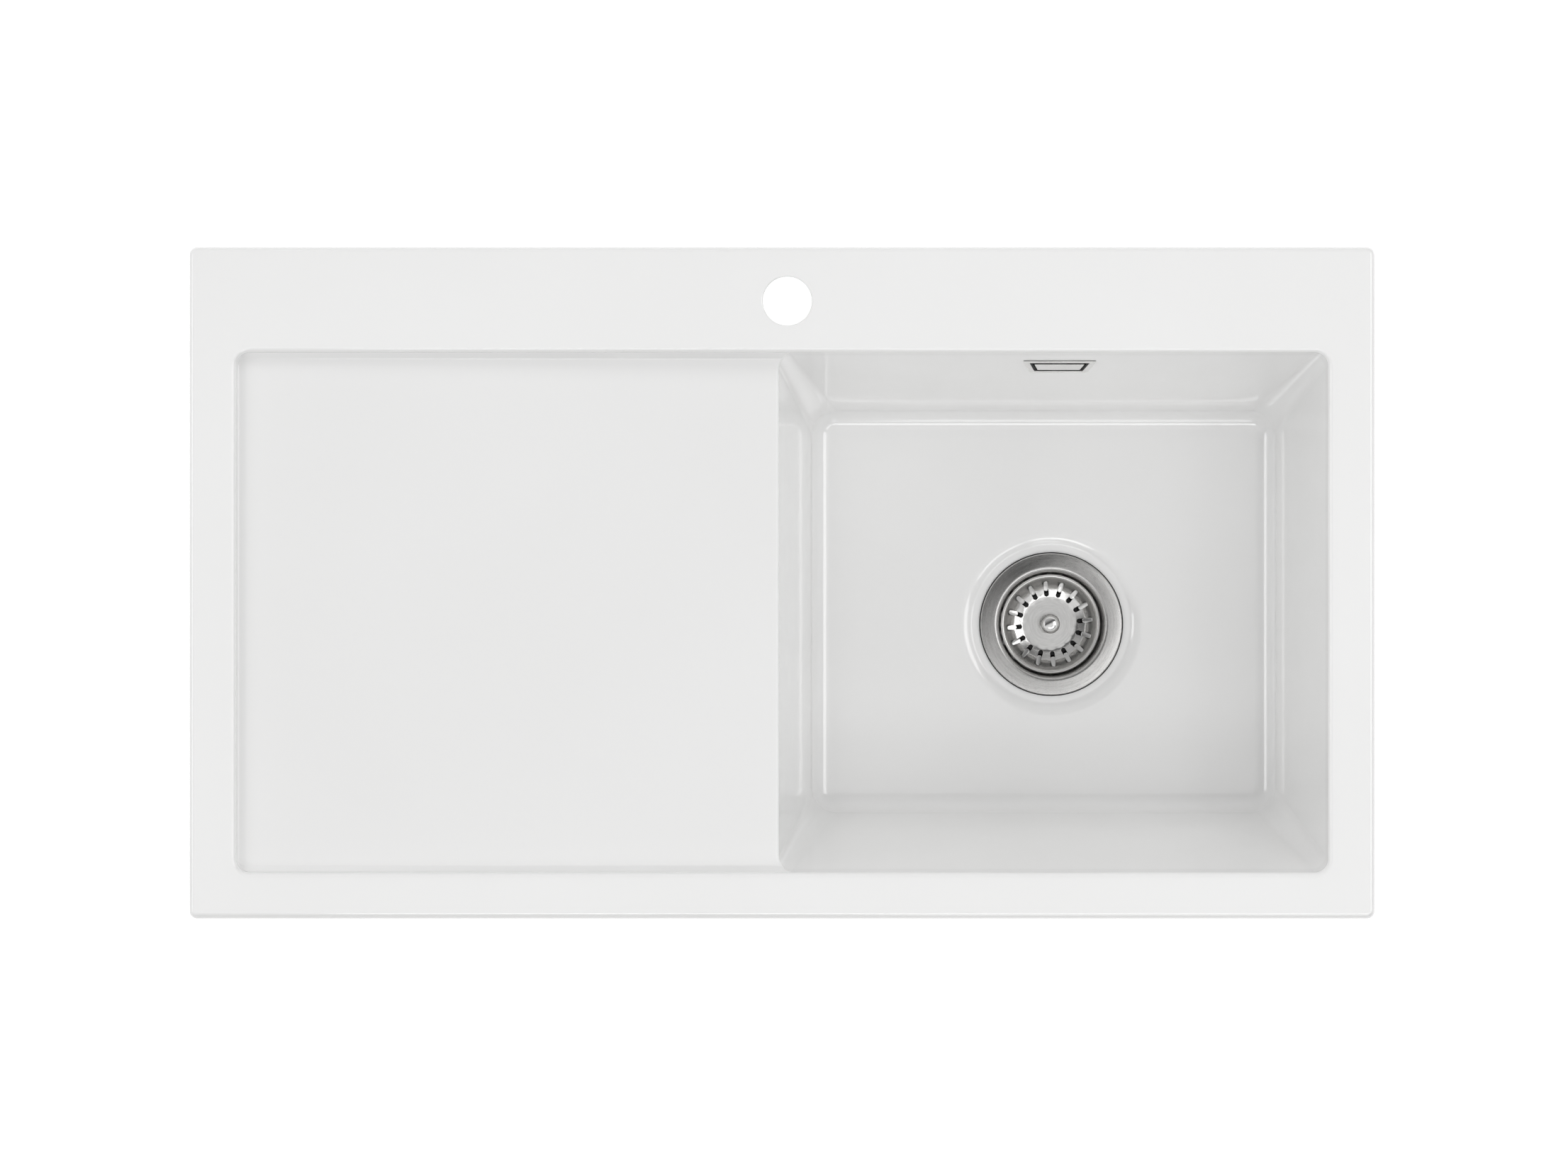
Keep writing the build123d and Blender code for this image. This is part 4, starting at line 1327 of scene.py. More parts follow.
    def draw_bowl(self, draft: Draft) -> None:
        """Adds the inside of the bowl, with the dish round the drain."""
        plan = self.bowl_plan
        draft.loft(self.edge_points, closed=False)
        top = self.bowl_at(self.step_z).ring(plan, self.step_z)
        back_end = plan.starts()[2] + len(plan.back)
        upright = [point + Vector((0, 0, self.edge_z - self.step_z)) for point in top[:back_end]]
        draft.loft([upright, top[:back_end]], closed=False)
        mouth = [*top[:back_end], *(edge[-1] for edge in self.edge_points[1:-1])]
        high, low = (self.bowl_at(z).ring(plan, z) for z in self.window_z)
        draft.loft([mouth, high])
        first, last = self.window_span(plan)
        draft.loft([high, low], skip=range(first, last))
        self.draw_window(draft, high[first : last + 1], low[first : last + 1], 0.0)
        rows = self.floor_rows(self.floor_z, 0.0, top, self.floor_fillet_r)
        draft.loft([low, *rows])
        dish = rounded_path(
            [
                (self.dish_r + RUN_OUT, self.floor_z),
                (self.dish_r, self.floor_z),
                (self.dish_foot_r, self.floor_z - self.dish_depth),
                (self.drain_r, self.floor_z - self.dish_depth),
                (self.drain_r, self.under_z),
                (self.drain_r + RUN_OUT, self.under_z),
            ],
            self.dish_radii,
            steps=12,
        )[1:-1]
        draft.revolve(dish, self.drain_x, self.drain_y, LARGE_ROUND)
        draft.fill(rows[-1], [circle(self.drain_x, self.drain_y, dish[0][0], self.floor_z, LARGE_ROUND)])
        self.drain_foot = circle(self.drain_x, self.drain_y, dish[-1][0], self.under_z, LARGE_ROUND)

    def floor_rows(self, z: float, wall: float, heads: Sequence[Vector], radius: float) -> list[list[Vector]]:
        """Rows of the fillet between the bowl's wall and a floor.

        Args:
            z: Height of the floor.
            wall: Wall to add all round.
            heads: A point higher up the wall, for each place round the bowl.
            radius: Radius of the fillet.

        Returns:
            The rows, from the wall to the floor.
        """
        feet, outward = self.bowl_at(z, wall).walk(self.bowl_plan)
        arcs = []
        for foot, out, head in zip(feet, outward, heads):
            corner = foot + Vector((0, 0, z))
            arcs.append(arc_between(corner, head - corner, -out, radius, steps=9))
        return [list(row) for row in zip(*arcs)]

    def window_span(self, plan: RingPlan) -> tuple[int, int]:
        """Indices of the ring points on both sides of the overflow's hole."""
        middle = plan.starts()[2] + len(plan.back) // 2
        return middle - 1, middle

    def draw_window(self, draft: Draft, high: list[Vector], low: list[Vector], out: float) -> None:
        """Adds the flat piece of wall round the overflow's hole.

        Args:
            draft: The mesh.
            high: Upper edge of that piece.
            low: Lower edge of that piece.
            out: Height of its face over the bowl's inner wall.
        """
        hole = self.face.outline(self.hole_inset, self.hole_corner_r, out)
        draft.fill([*high, *reversed(low)], [hole])

    def draw_outside(self, draft: Draft) -> None:
        """Adds the underside of the bowl and the overflow's hole through its wall."""
        plan = self.bowl_plan
        high, low = (self.bowl_at(z, self.wall).ring(plan, z) for z in self.outer_window_z)
        draft.loft([self.outer_root[-1], high])
        first, last = self.window_span(plan)
        draft.loft([high, low], skip=range(first, last))
        thickness = self.wall * math.cos(self.face.lean)
        self.draw_window(draft, high[first : last + 1], low[first : last + 1], -thickness)
        holes = [self.face.outline(self.hole_inset, self.hole_corner_r, out) for out in (0.0, -thickness)]
        draft.loft(holes)
        rows = self.floor_rows(self.under_z, self.wall, low, self.outer_floor_r)
        draft.loft([low, *rows])
        draft.fill(rows[-1], [self.drain_foot])
        draft.loft(self.outer_root)

    def root_rows(self) -> list[list[Vector]]:
        """Rows of the fillet between the slab's underside and the bowl's outer wall."""
        plan = self.bowl_plan
        roots, outward = self.bowl_at(self.slab_z, self.wall).walk(plan)
        lower = self.bowl_at(self.outer_window_z[1], self.wall).ring(plan, self.outer_window_z[1])
        arcs = []
        for root, out, foot in zip(roots, outward, lower):
            corner = root + Vector((0, 0, self.slab_z))
            arcs.append(arc_between(corner, out, foot - corner, self.root_r, steps=6))
        return [list(row) for row in zip(*arcs)]

    def build(self, glaze: bpy.types.Material, clay: bpy.types.Material) -> bpy.types.Object:
        """Makes the casting.

        Args:
            glaze: Finish of the glazed faces.
            clay: Finish of the seat under the rim.

        Returns:
            The piece.
        """
        draft = Draft()
        self.outer_root = self.root_rows()
        self.draw_rim(draft)
        self.draw_recess(draft)
        self.draw_bowl(draft)
        self.draw_outside(draft)
        piece = draft.piece("ceramic_basin", [glaze, clay], sharp_deg=35.0)
        even_normals(piece)
        place(piece, Body.SINK, Slot.CERAMIC, "sink_body")
        return piece

    def build_ribs(self, repeat: Repeat, glaze: bpy.types.Material) -> bpy.types.Object:
        """Makes the stiffening ribs under the drainer.

        Args:
            repeat: Tree that sets pieces in a row.
            glaze: Their finish.

        Returns:
            The piece.
        """
        left = self.rib_inset - self.recess.half_x
        right = self.divider_x - self.wall - self.rib_inset
        reach = (right - left - self.rib_width) / 2
        draft = Draft()
        half = self.rib_width / 2
        path = rounded_path(
            [
                (half + self.rib_spread, self.rib_overlap),
                (half, 0.0),
                (half - self.rib_taper, -self.rib_height),
                (self.rib_ridge, -self.rib_height),
            ],
            self.rib_radii,
            steps=6,
        )
        rows = []
        for radius, height in path:
            row = []
            for side in (1, -1):
                for turn in spread(-math.pi / 2, math.pi / 2, count=13):
                    x = side * (reach + radius * math.cos(turn))
                    row.append(Vector((x, side * radius * math.sin(turn), height)))
            rows.append(row)
        draft.solid(rows)
        piece = draft.piece("drainer_ribs", [glaze], sharp_deg=35.0)
        pitch = 2 * self.recess.half_y / self.rib_count
        start = (
            (left + right) / 2 * MM,
            (self.recess_y - pitch * (self.rib_count - 1) / 2) * MM,
            self.slab_z * MM,
        )
        repeat.use(piece, Count=self.rib_count, Start=start, Offset=(0.0, pitch * MM, 0.0), Material=glaze)
        settle(piece, sharp_deg=35.0)
        place(piece, Body.SINK, Slot.CERAMIC)
        return piece


@dataclass
class PressedSheet:
    """A round steel pressing made of equal sectors, each with one opening."""

    x: float
    y: float
    sectors: int
    phase_deg: float
    thickness: float
    cell: tuple[float, float]
    arc_steps: int = 16
    side_steps: int = 8
    ring_shares: tuple[float, ...] = (0.0, 0.22, 0.55, 1.0)

    def sector(
        self,
        inner: Sequence[Vector],
        outer: Sequence[Vector],
        height: Callable[[float], float],
        opening: Sequence[Vector],
    ) -> Draft:
        """Draws one sector of the sheet's middle face.

        Args:
            inner: Radius and height of the rows inside the opening's cell.
            outer: Radius and height of the rows outside that cell.
            height: Height of the sheet at a radius within the cell.
            opening: The opening's outline from above, in four runs: outer, left, inner and right.

        Returns:
            The sector, about the axis.
        """
        half = math.pi / self.sectors
        turns = spread(-half, half, self.arc_steps + 1)
        draft = Draft()
        for rows in (inner, outer):
            draft.loft(
                [[Vector((s[0] * math.cos(t), s[0] * math.sin(t), s[1])) for t in turns] for s in rows],
                closed=False,
            )
        near, far = self.cell
        rim = [(far, t) for t in turns[:-1]]
        rim += [(r, half) for r in spread(far, near, self.side_steps + 1)[:-1]]
        rim += [(near, t) for t in reversed(turns[1:])]
        rim += [(r, -half) for r in spread(near, far, self.side_steps + 1)[:-1]]
        border = [Vector((r * math.cos(t), r * math.sin(t))) for r, t in rim]
        rings = []
        for share in self.ring_shares:
            ring = []
            for edge, outside in zip(opening, border):
                spot = edge.lerp(outside, share)
                ring.append(Vector((spot.x, spot.y, height(spot.length))))
            rings.append(ring)
        draft.loft(rings)
        return draft

    def finish(
        self, draft: Draft, name: str, repeat: Repeat, material: bpy.types.Material
    ) -> bpy.types.Object:
        """Repeats a sector round the axis and gives the sheet its thickness.

        Args:
            draft: One sector.
            name: Name of the piece.
            repeat: Tree that turns copies about an axis.
            material: The sheet's finish.

        Returns:
            The piece, as a plain mesh.
        """
        piece = draft.piece(name, [material])
        repeat.use(
            piece,
            Count=self.sectors,
            Phase=math.radians(self.phase_deg),
            Centre=(self.x * MM, self.y * MM, 0.0),
            Material=material,
        )
        settle(piece)
        work = bmesh.new()
        work.from_mesh(piece.data)
        bmesh.ops.recalc_face_normals(work, faces=work.faces)
        work.to_mesh(piece.data)
        work.free()
        solid = piece.modifiers.new("thickness", "SOLIDIFY")
        solid.thickness = self.thickness * MM
        solid.offset = 0.0
        settle(piece, sharp_deg=35.0)
        return piece


@dataclass
class Strainer:
    """The steel cup in the drain and the basket that lifts out of it."""

    x: float = DRAIN_X
    y: float = DRAIN_Y
    flange_z: float = -179.0
    flange_r: float = 56.25
    flange_rise: float = 1.9
    flange_bend: float = 1.0
    flange_drop: float = 1.4
    cup_r: float = 42.0
    cup_wall_r: float = 40.8
    cup_sump_r: float = 24.5
    cup_depth: float = 54.0
    cup_sheet: float = 1.0
    cup_cone: tuple[float, float] = (41.0, 36.0)
    cup_throat: tuple[float, float] = (14.8, 13.0)
    cup_radii: tuple[float, ...] = (1.0, 1.5, 1.5, 0.8, 0.8, 3.0, 0.8)
    cup_bore_r: float = 6.3
    cup_cell: tuple[float, float] = (11.0, 23.0)
    cup_holes: int = 8
    cup_hole_r: float = 4.5
    cup_hole_circle_r: float = 17.0
    basket_z: float = -215.6
    basket_height: float = 23.0
    basket_sheet: float = 0.8
    basket_rim_r: float = 39.2
    basket_rim: tuple[float, float] = (1.8, 1.4)
    basket_floor_r: float = 21.5
    basket_radii: tuple[float, ...] = (2.5, 3.0, 0.6, 0.6)
    basket_cell: tuple[float, float] = (20.2, 35.6)
    shoulder_r: float = 30.0
    shoulder_rise: float = 3.0
    slot_count: int = 16
    slot_width: float = 3.7
    slot_start_r: float = 21.8
    slot_end_r: float = 34.3
    slot_phase: float = 5.6
    strip_start_r: float = 26.2
    strip_width: float = 3.5
    strip_sheet: float = 0.6
    strip_crown: float = 0.12
    strip_lift: float = 0.25
    strip_margin: float = 0.1
    strip_lean: float = 0.6
    strip_top: float = 15.4
    strip_bend_r: float = 1.0
    strip_undercut: float = 0.3
    nose_length: float = 1.5
    nose_share: float = 0.35
    # painted shade: the basket's wall keeps this share of its colour between the heights below
    wall_shade_share: float = 0.5
    wall_shade_from: tuple[float, float] = (5.2, 8.5)
    wall_shade_to: tuple[float, float] = (3.2, 1.0)
    stem_r: float = 3.05
    knob_r: float = 7.9
    knob_half: float = 5.0
    knob_height: float = 24.0
    knob_neck_r: float = 4.0
    knob_neck_top: float = 6.0
    knob_foot_r: float = 8.0
    knob_foot: tuple[float, float] = (1.6, 2.2)
    knob_radii: tuple[float, ...] = (0.2, 0.6, 1.6)
    knob_socket: float = 12.0
    seal_r: tuple[float, float] = (47.25, 56.65)
    seal_z: tuple[float, float] = (-181.0, -179.5)

    def build_cup(self, repeat: Repeat, material: bpy.types.Material) -> bpy.types.Object:
        """Makes the cup with its flange.

        Args:
            repeat: Tree that turns copies about an axis.
            material: Its finish.

        Returns:
            The piece.
        """
        sheet = PressedSheet(self.x, self.y, self.cup_holes, 0.0, self.cup_sheet, self.cup_cell)
        floor = self.flange_z - self.cup_depth
        (cone_low, cone_high), (throat_low, throat_high) = self.cup_cone, self.cup_throat
        path = rounded_path(
            [
                (sheet.cell[1], floor),
                (self.cup_sump_r, floor),
                (self.cup_sump_r, self.flange_z - cone_low),
                (self.cup_wall_r, self.flange_z - cone_high),
                (self.cup_wall_r, self.flange_z - throat_low),
                (self.cup_r, self.flange_z - throat_high),
                (self.cup_r, self.flange_z + self.flange_rise),
                (self.flange_r - self.flange_bend, self.flange_z),
                (self.flange_r - self.cup_sheet / 2, self.flange_z - self.flange_drop),
            ],
            self.cup_radii,
            steps=8,
        )
        inner = [Vector((r, floor)) for r in spread(self.cup_bore_r, sheet.cell[0], count=4)]
        quarter = math.pi / 4
        turns = [
            *spread(-quarter, quarter, sheet.arc_steps + 1)[:-1],
            *spread(quarter, 3 * quarter, sheet.side_steps + 1)[:-1],
            *spread(3 * quarter, 5 * quarter, sheet.arc_steps + 1)[:-1],
            *spread(5 * quarter, 7 * quarter, sheet.side_steps + 1)[:-1],
        ]
        hole = [
            Vector((self.cup_hole_circle_r + self.cup_hole_r * math.cos(t), self.cup_hole_r * math.sin(t)))
            for t in turns
        ]
        draft = sheet.sector(inner, path, lambda r: floor, hole)
        piece = sheet.finish(draft, "strainer_cup_steel", repeat, material)
        place(piece, Body.SINK, Slot.BRUSHED, "strainer_cup")
        return piece

    def build_basket(self, repeat: Repeat, material: bpy.types.Material) -> bpy.types.Object:
        """Makes the slotted basket.

        Args:
            repeat: Tree that turns copies about an axis.
            material: Its finish.

        Returns:
            The piece.
        """
        sheet = PressedSheet(
            self.x,
            self.y,
            self.slot_count,
            self.slot_phase,
            self.basket_sheet,
            self.basket_cell,
            arc_steps=8,
            side_steps=10,
        )
        top = self.basket_z + self.basket_height
        edge = self.basket_rim_r - self.basket_sheet / 2
        rim_width, rim_depth = self.basket_rim
        path = rounded_path(
            [
                (self.stem_r, self.basket_z),
                (self.basket_floor_r, self.basket_z),
                (self.shoulder_r, self.basket_z + self.shoulder_rise),
                (self.basket_rim_r - rim_width, top),
                (edge, top),
                (edge, top - rim_depth),
            ],
            self.basket_radii,
            steps=8,
        )

        def height(radius: float) -> float:
            """Height of the sheet at a radius."""
            for before, after in zip(path, path[1:]):
                if before[0] <= radius <= after[0]:
                    share = (radius - before[0]) / (after[0] - before[0])
                    return before[1] + (after[1] - before[1]) * share
            return path[0][1]

        near, far = sheet.cell
        inner = [Vector((r, height(r))) for r in spread(self.stem_r, near, count=10)]
        split = next(k for k, spot in enumerate(path) if spot[0] > far)
        outer = [Vector((far, height(far))), *path[split:]]
        half = self.slot_width / 2
        start, end = self.slot_start_r + half, self.slot_end_r - half
        quarter, arc_points, side_points = math.pi / 2, sheet.arc_steps + 1, sheet.side_steps + 1
        outer_turns = spread(-quarter, quarter, arc_points)[:-1]
        inner_turns = spread(quarter, 3 * quarter, arc_points)[:-1]
        slot = [
            *(Vector((end + half * math.cos(t), half * math.sin(t))) for t in outer_turns),
            *(Vector((r, half)) for r in spread(end, start, side_points)[:-1]),
            *(Vector((start + half * math.cos(t), half * math.sin(t))) for t in inner_turns),
            *(Vector((r, -half)) for r in spread(start, end, side_points)[:-1]),
        ]
        draft = sheet.sector(inner, outer, height, slot)
        piece = sheet.finish(draft, "strainer_basket_steel", repeat, material)
        place(piece, Body.BASKET, Slot.SATIN, "strainer_basket")
        return piece

    def painted_wall_shade(self) -> tuple[tuple[float, float], ...]:
        """Heights on the basket's deep-drawn wall, with the share of the colour left there, which paints
        shade on the wall.
        """
        low = [self.basket_z + height for height in self.wall_shade_from]
        high = [self.basket_z + (self.basket_height - depth) for depth in self.wall_shade_to]
        shares = (1.0, self.wall_shade_share, self.wall_shade_share, 1.0)
        return tuple(zip([*low, *high], shares))

    def build_strips(self, repeat: Repeat, material: bpy.types.Material) -> bpy.types.Object:
        """Makes the strips pressed back from the slots, each left joined at the slot's upper end.

        Args:
            repeat: Tree that turns copies about an axis.
            material: Their finish.

        Returns:
            The piece.
        """
        slope = self.shoulder_rise / (self.shoulder_r - self.basket_floor_r)
        start, end = self.strip_start_r, self.slot_end_r - self.strip_margin
        low = self.basket_z + slope * (start - self.basket_floor_r) + self.strip_lift
        path = rounded_path(
            [
                (start, low),
                (end, low + slope * (end - start)),
                (end + self.strip_lean, self.basket_z + self.strip_top),
            ],
            [self.strip_bend_r],
            steps=6,
        )
        reach = spread(start, start + self.nose_length, count=6)
        nose = [Vector((r, low + slope * (r - start))) for r in reach]
        sides = spread(-1.0, 1.0, count=7)
        rows = []
        for r, z in [*nose, *path[1:]]:
            lead = min(max((r - start) / self.nose_length, 0.0), 1.0)
            share = self.nose_share + (1 - self.nose_share) * math.sqrt(1 - (1 - lead) ** 2)
            half = self.strip_width / 2 * share
            upper = [Vector((r, half * s, z + self.strip_crown * (1 - s * s))) for s in sides]
            back = r + self.strip_undercut * self.strip_sheet
            under = [Vector((back, half * s, z - self.strip_sheet)) for s in sides]
            rows.append([*upper, *reversed(under)])
        draft = Draft()
        draft.solid(rows)
        piece = draft.piece("strainer_basket_strips", [material], sharp_deg=45.0)
        repeat.use(
            piece,
            Count=self.slot_count,
            Phase=math.radians(self.slot_phase),
            Centre=(self.x * MM, self.y * MM, 0.0),
            Material=material,
        )
        settle(piece, sharp_deg=45.0)
        place(piece, Body.BASKET, Slot.SATIN)
        return piece

    def build_seal(self, material: bpy.types.Material) -> bpy.types.Object:
        """Makes the rubber ring that shows as a thin dark line round the flange.

        Args:
            material: Its finish.

        Returns:
            The piece.
        """
        (near, far), (low, high) = self.seal_r, self.seal_z
        corners = ((near, low), (far, low), (far, high), (near, high), (near, low))
        draft = Draft()
        draft.revolve([Vector(spot) for spot in corners], self.x, self.y, LARGE_ROUND)
        piece = draft.piece("flange_seal_rubber", [material], sharp_deg=30.0)
        place(piece, Body.SINK, Slot.RUBBER, "flange_seal")
        return piece

    def build_knob(self, material: bpy.types.Material) -> bpy.types.Object:
        """Makes the flattened knob on its foot.

        Args:
            material: Its finish.

        Returns:
            The piece.
        """
        base = self.basket_z + self.basket_sheet / 2
        middle = self.knob_height - self.knob_half
        meet = math.asin(self.knob_neck_r / self.knob_r)
        edge_height, neck_foot = self.knob_foot
        foot = rounded_path(
            [
                (self.stem_r, 0.0),
                (self.knob_foot_r, 0.0),
                (self.knob_foot_r, edge_height),
                (self.knob_neck_r, neck_foot),
                (self.knob_neck_r, self.knob_neck_top),
            ],
            self.knob_radii,
            steps=6,
        )
        ball = [
            Vector((self.knob_r * math.sin(t), middle - self.knob_half * math.cos(t)))
            for t in spread(meet, math.pi, count=33)
        ]
        profile = [Vector((spot[0], spot[1] + base)) for spot in [*foot, *ball]]
        profile[-1][0] = 0.0
        socket = [Vector((r, base + self.knob_socket)) for r in (0.0, self.stem_r)]
        draft = Draft()
        draft.revolve([*socket, *profile], self.x, self.y, count=72)
        piece = draft.piece("knob_steel", [material], sharp_deg=50.0)
        place(piece, Body.BASKET, Slot.POLISHED, "basket_knob")
        return piece


@dataclass
class OverflowCover:
    """The frame and the plate over the overflow's hole."""

    face: OverflowFace = field(default_factory=OverflowFace)
    gasket: float = 0.3
    thickness: float = 0.7
    frame: float = 4.2
    gap: float = 3.0
    squeeze: float = 1.2
    edge_r: float = 0.3
    plate_thickness: float = 0.45
    plate_proud: float = -0.05
    plate_edge_r: float = 0.15
    plate_back_r: float = 0.2
    plate_border: float = 2.0
    corner_r: float = 0.6
    bar_width: float = 10.0
    bar_back: float = -1.6
    bar_front: float = 0.4
    bar_inset: float = 3.5
    bar_end: float = 2.0
    leg_half: tuple[float, float] = (2.5, 0.6)
    leg_reach: float = 7.0
    leg_tip: float = -2.0
    gasket_inset: float = 0.3
    # the lip is black rubber that also stands in for the shade in the overflow's hole (painted shade)
    lip: tuple[float, float] = (-1.7, 0.6)
    lip_width: float = 1.8

    def add_block(
        self, draft: Draft, up: float, half: tuple[float, float], back: float, front: float
    ) -> None:
        """Adds a block that stands square to the wall.

        Args:
            draft: The mesh.
            up: Its middle, up the wall from the cover's middle.
            half: Half its width and half its height.
            back: Its back, over the wall.
            front: Its front, over the wall.
        """
        corners = ((-1, -1), (1, -1), (1, 1), (-1, 1))
        rims = [
            [self.face.point(a * half[0], up + b * half[1], out) for a, b in corners] for out in (back, front)
        ]
        draft.solid(rims)

    def build_frame(self, material: bpy.types.Material, gap_shade_black: bpy.types.Material) -> bpy.types.Object:
        """Makes the frame with the bar across its back, which is black as painted shade in the gap behind the
        plate.

        Args:
            material: Its finish.
            gap_shade_black: Black finish of the bar, painted shade for the gap.

        Returns:
            The piece.
        """
        front = self.gasket + self.thickness
        path = rounded_path(
            [
                (0.0, self.gasket),
                (0.0, front),
                (self.frame, front),
                (self.frame, self.gasket),
            ],
            [self.edge_r, self.edge_r],
            steps=6,
        )
        draft = Draft()
        rows = [self.face.outline(spot[0], self.corner_r, spot[1]) for spot in path]
        draft.loft([*rows, rows[0]])
        half_x, half_y = self.bar_width / 2, self.face.height / 2 - self.bar_inset
        step, ledge = half_y - self.bar_end, self.gasket + self.thickness / 2
        half_bar = [(half_y, self.bar_back), (half_y, ledge), (step, ledge), (step, self.bar_front)]
        bar = [*half_bar, *((-up, out) for up, out in reversed(half_bar))]
        rims = [[self.face.point(x, up, out) for up, out in bar] for x in (-half_x, half_x)]
        # the bar takes the black finish: painted shade seen through the gap
        draft.solid(rims, finish=1)
        piece = draft.piece("overflow_frame_steel", [material, gap_shade_black])
        even_normals(piece)
        place(piece, Body.SINK, Slot.BRUSHED, "overflow_bezel")
        return piece

    def build_gasket(self, material: bpy.types.Material) -> bpy.types.Object:
        """Makes the gasket behind the frame, with the black rubber lip that lines the frame's opening and
        stands in for the shade in the overflow's hole (painted shade).

        Args:
            material: Its finish.

        Returns:
            The piece.
        """
        # black rubber lip into the opening: painted shade in the overflow's hole
        near, far = self.lip
        path = [
            (self.gasket_inset, 0.0),
            (self.gasket_inset, self.gasket),
            (self.frame, self.gasket),
            (self.frame, far),
            (self.frame + self.lip_width, far),
            (self.frame + self.lip_width, near),
            (self.frame, near),
            (self.frame, 0.0),
        ]
        rows = [self.face.outline(inset, self.corner_r, out) for inset, out in path]
        draft = Draft()
        draft.loft([*rows, rows[0]])
        piece = draft.piece("overflow_gasket_rubber", [material], sharp_deg=30.0)
        even_normals(piece)
        place(piece, Body.SINK, Slot.RUBBER, "overflow_front_gasket")
        return piece

    def build_plate(self, material: bpy.types.Material, gap_shade_black: bpy.types.Material) -> bpy.types.Object:
        """Makes the plate inside the frame, with its black plastic edge and back, which stand in for the
        shade in the gap round it (painted shade), and its two legs.

        Args:
            material: Finish of its front.
            gap_shade_black: Black finish of its edge and back, painted shade for the gap.

        Returns:
            The piece.
        """
        inset = self.frame + self.gap
        front = self.gasket + self.thickness + self.plate_proud
        back = front - self.plate_thickness
        border = inset + self.plate_border
        path = rounded_path(
            [(border, back), (inset, back), (inset, front), (border, front)],
            [self.plate_back_r, self.plate_edge_r],
            steps=5,
        )
        draft = Draft()
        face = self.face.squeezed(self.squeeze)
        rows = [face.outline(spot[0], self.corner_r, spot[1]) for spot in path]
        middle = len(rows) // 2
        # black plastic edge and back of the plate: painted shade for the gap round it
        draft.loft(rows[: middle + 1], finish=1)
        draft.loft(rows[middle:])
        draft.fill(rows[0], finish=1)
        draft.fill(rows[-1])
        for up in (-self.leg_reach, self.leg_reach):
            self.add_block(draft, up, self.leg_half, self.leg_tip, back + self.plate_thickness / 2)
        piece = draft.piece("overflow_plate_steel", [material, gap_shade_black])
        even_normals(piece)
        place(piece, Body.SINK, Slot.SATIN, "overflow_plate")
        return piece


@dataclass
class WasteWorks:
    """The webs that stiffen the waste body under the bowl."""

    x: float = DRAIN_X
    y: float = DRAIN_Y
    barrel_r: float = 49.0
    flange_r: float = 57.0
    flange_under: float = -200.0
    web_count: int = 12
    web_phase: float = 15.0
    web_height: float = 15.0
    web_thickness: float = 2.4
    web_overlap: tuple[float, float] = (0.6, 0.3)
    web_margin: float = 2.0
    web_edge: float = 2.0
    web_foot: float = 0.4
    web_radii: tuple[float, ...] = (0.0, 1.2, 1.0)

    def build_webs(self, repeat: Repeat, material: bpy.types.Material) -> bpy.types.Object:
        """Makes the stiffening webs under the waste body's flange.

        Args:
            repeat: Tree that turns copies about an axis.
            material: Their finish.

        Returns:
            The piece.
        """
        inward, upward = self.web_overlap
        near, far = self.barrel_r - inward, self.flange_r - self.web_margin
        top = self.flange_under + upward
        path = rounded_path(
            [
                (near, top),
                (far, top),
                (far, top - self.web_edge),
                (self.barrel_r + self.web_foot, top - self.web_height),
                (near, top - self.web_height),
            ],
            self.web_radii,
            steps=5,
        )
        draft = Draft()
        half = self.web_thickness / 2
        draft.solid([[Vector((r, side, z)) for r, z in path] for side in (-half, half)])
        piece = draft.piece("waste_webs", [material])
        repeat.use(
            piece,
            Count=self.web_count,
            Phase=math.radians(self.web_phase),
            Centre=(self.x * MM, self.y * MM, 0.0),
            Material=material,
        )
        settle(piece, sharp_deg=40.0)
        place(piece, Body.SINK, Slot.WHITE_PLASTIC)
        return piece


@dataclass(frozen=True)
class Lamp:
    """A soft rectangular lamp, in metres and watts."""

    name: str
    spot: tuple[float, float, float]
    wide: float
    high: float
    power: float
    mirrored: bool = True

    def add(self, aim: Sequence[float]) -> None:
        """Adds the lamp, pointed at a place; only a mirrored one shows in shiny surfaces."""
        data = bpy.data.lights.new(self.name, "AREA")
        data.shape = "RECTANGLE"
        data.size = self.wide
        data.size_y = self.high
        data.energy = self.power
        made = bpy.data.objects.new(self.name, data)
        made.location = self.spot
        made.rotation_euler = (Vector(aim) - Vector(self.spot)).to_track_quat("-Z", "Y").to_euler()
        made.visible_camera = False
        made.visible_glossy = self.mirrored
        bpy.context.scene.collection.objects.link(made)


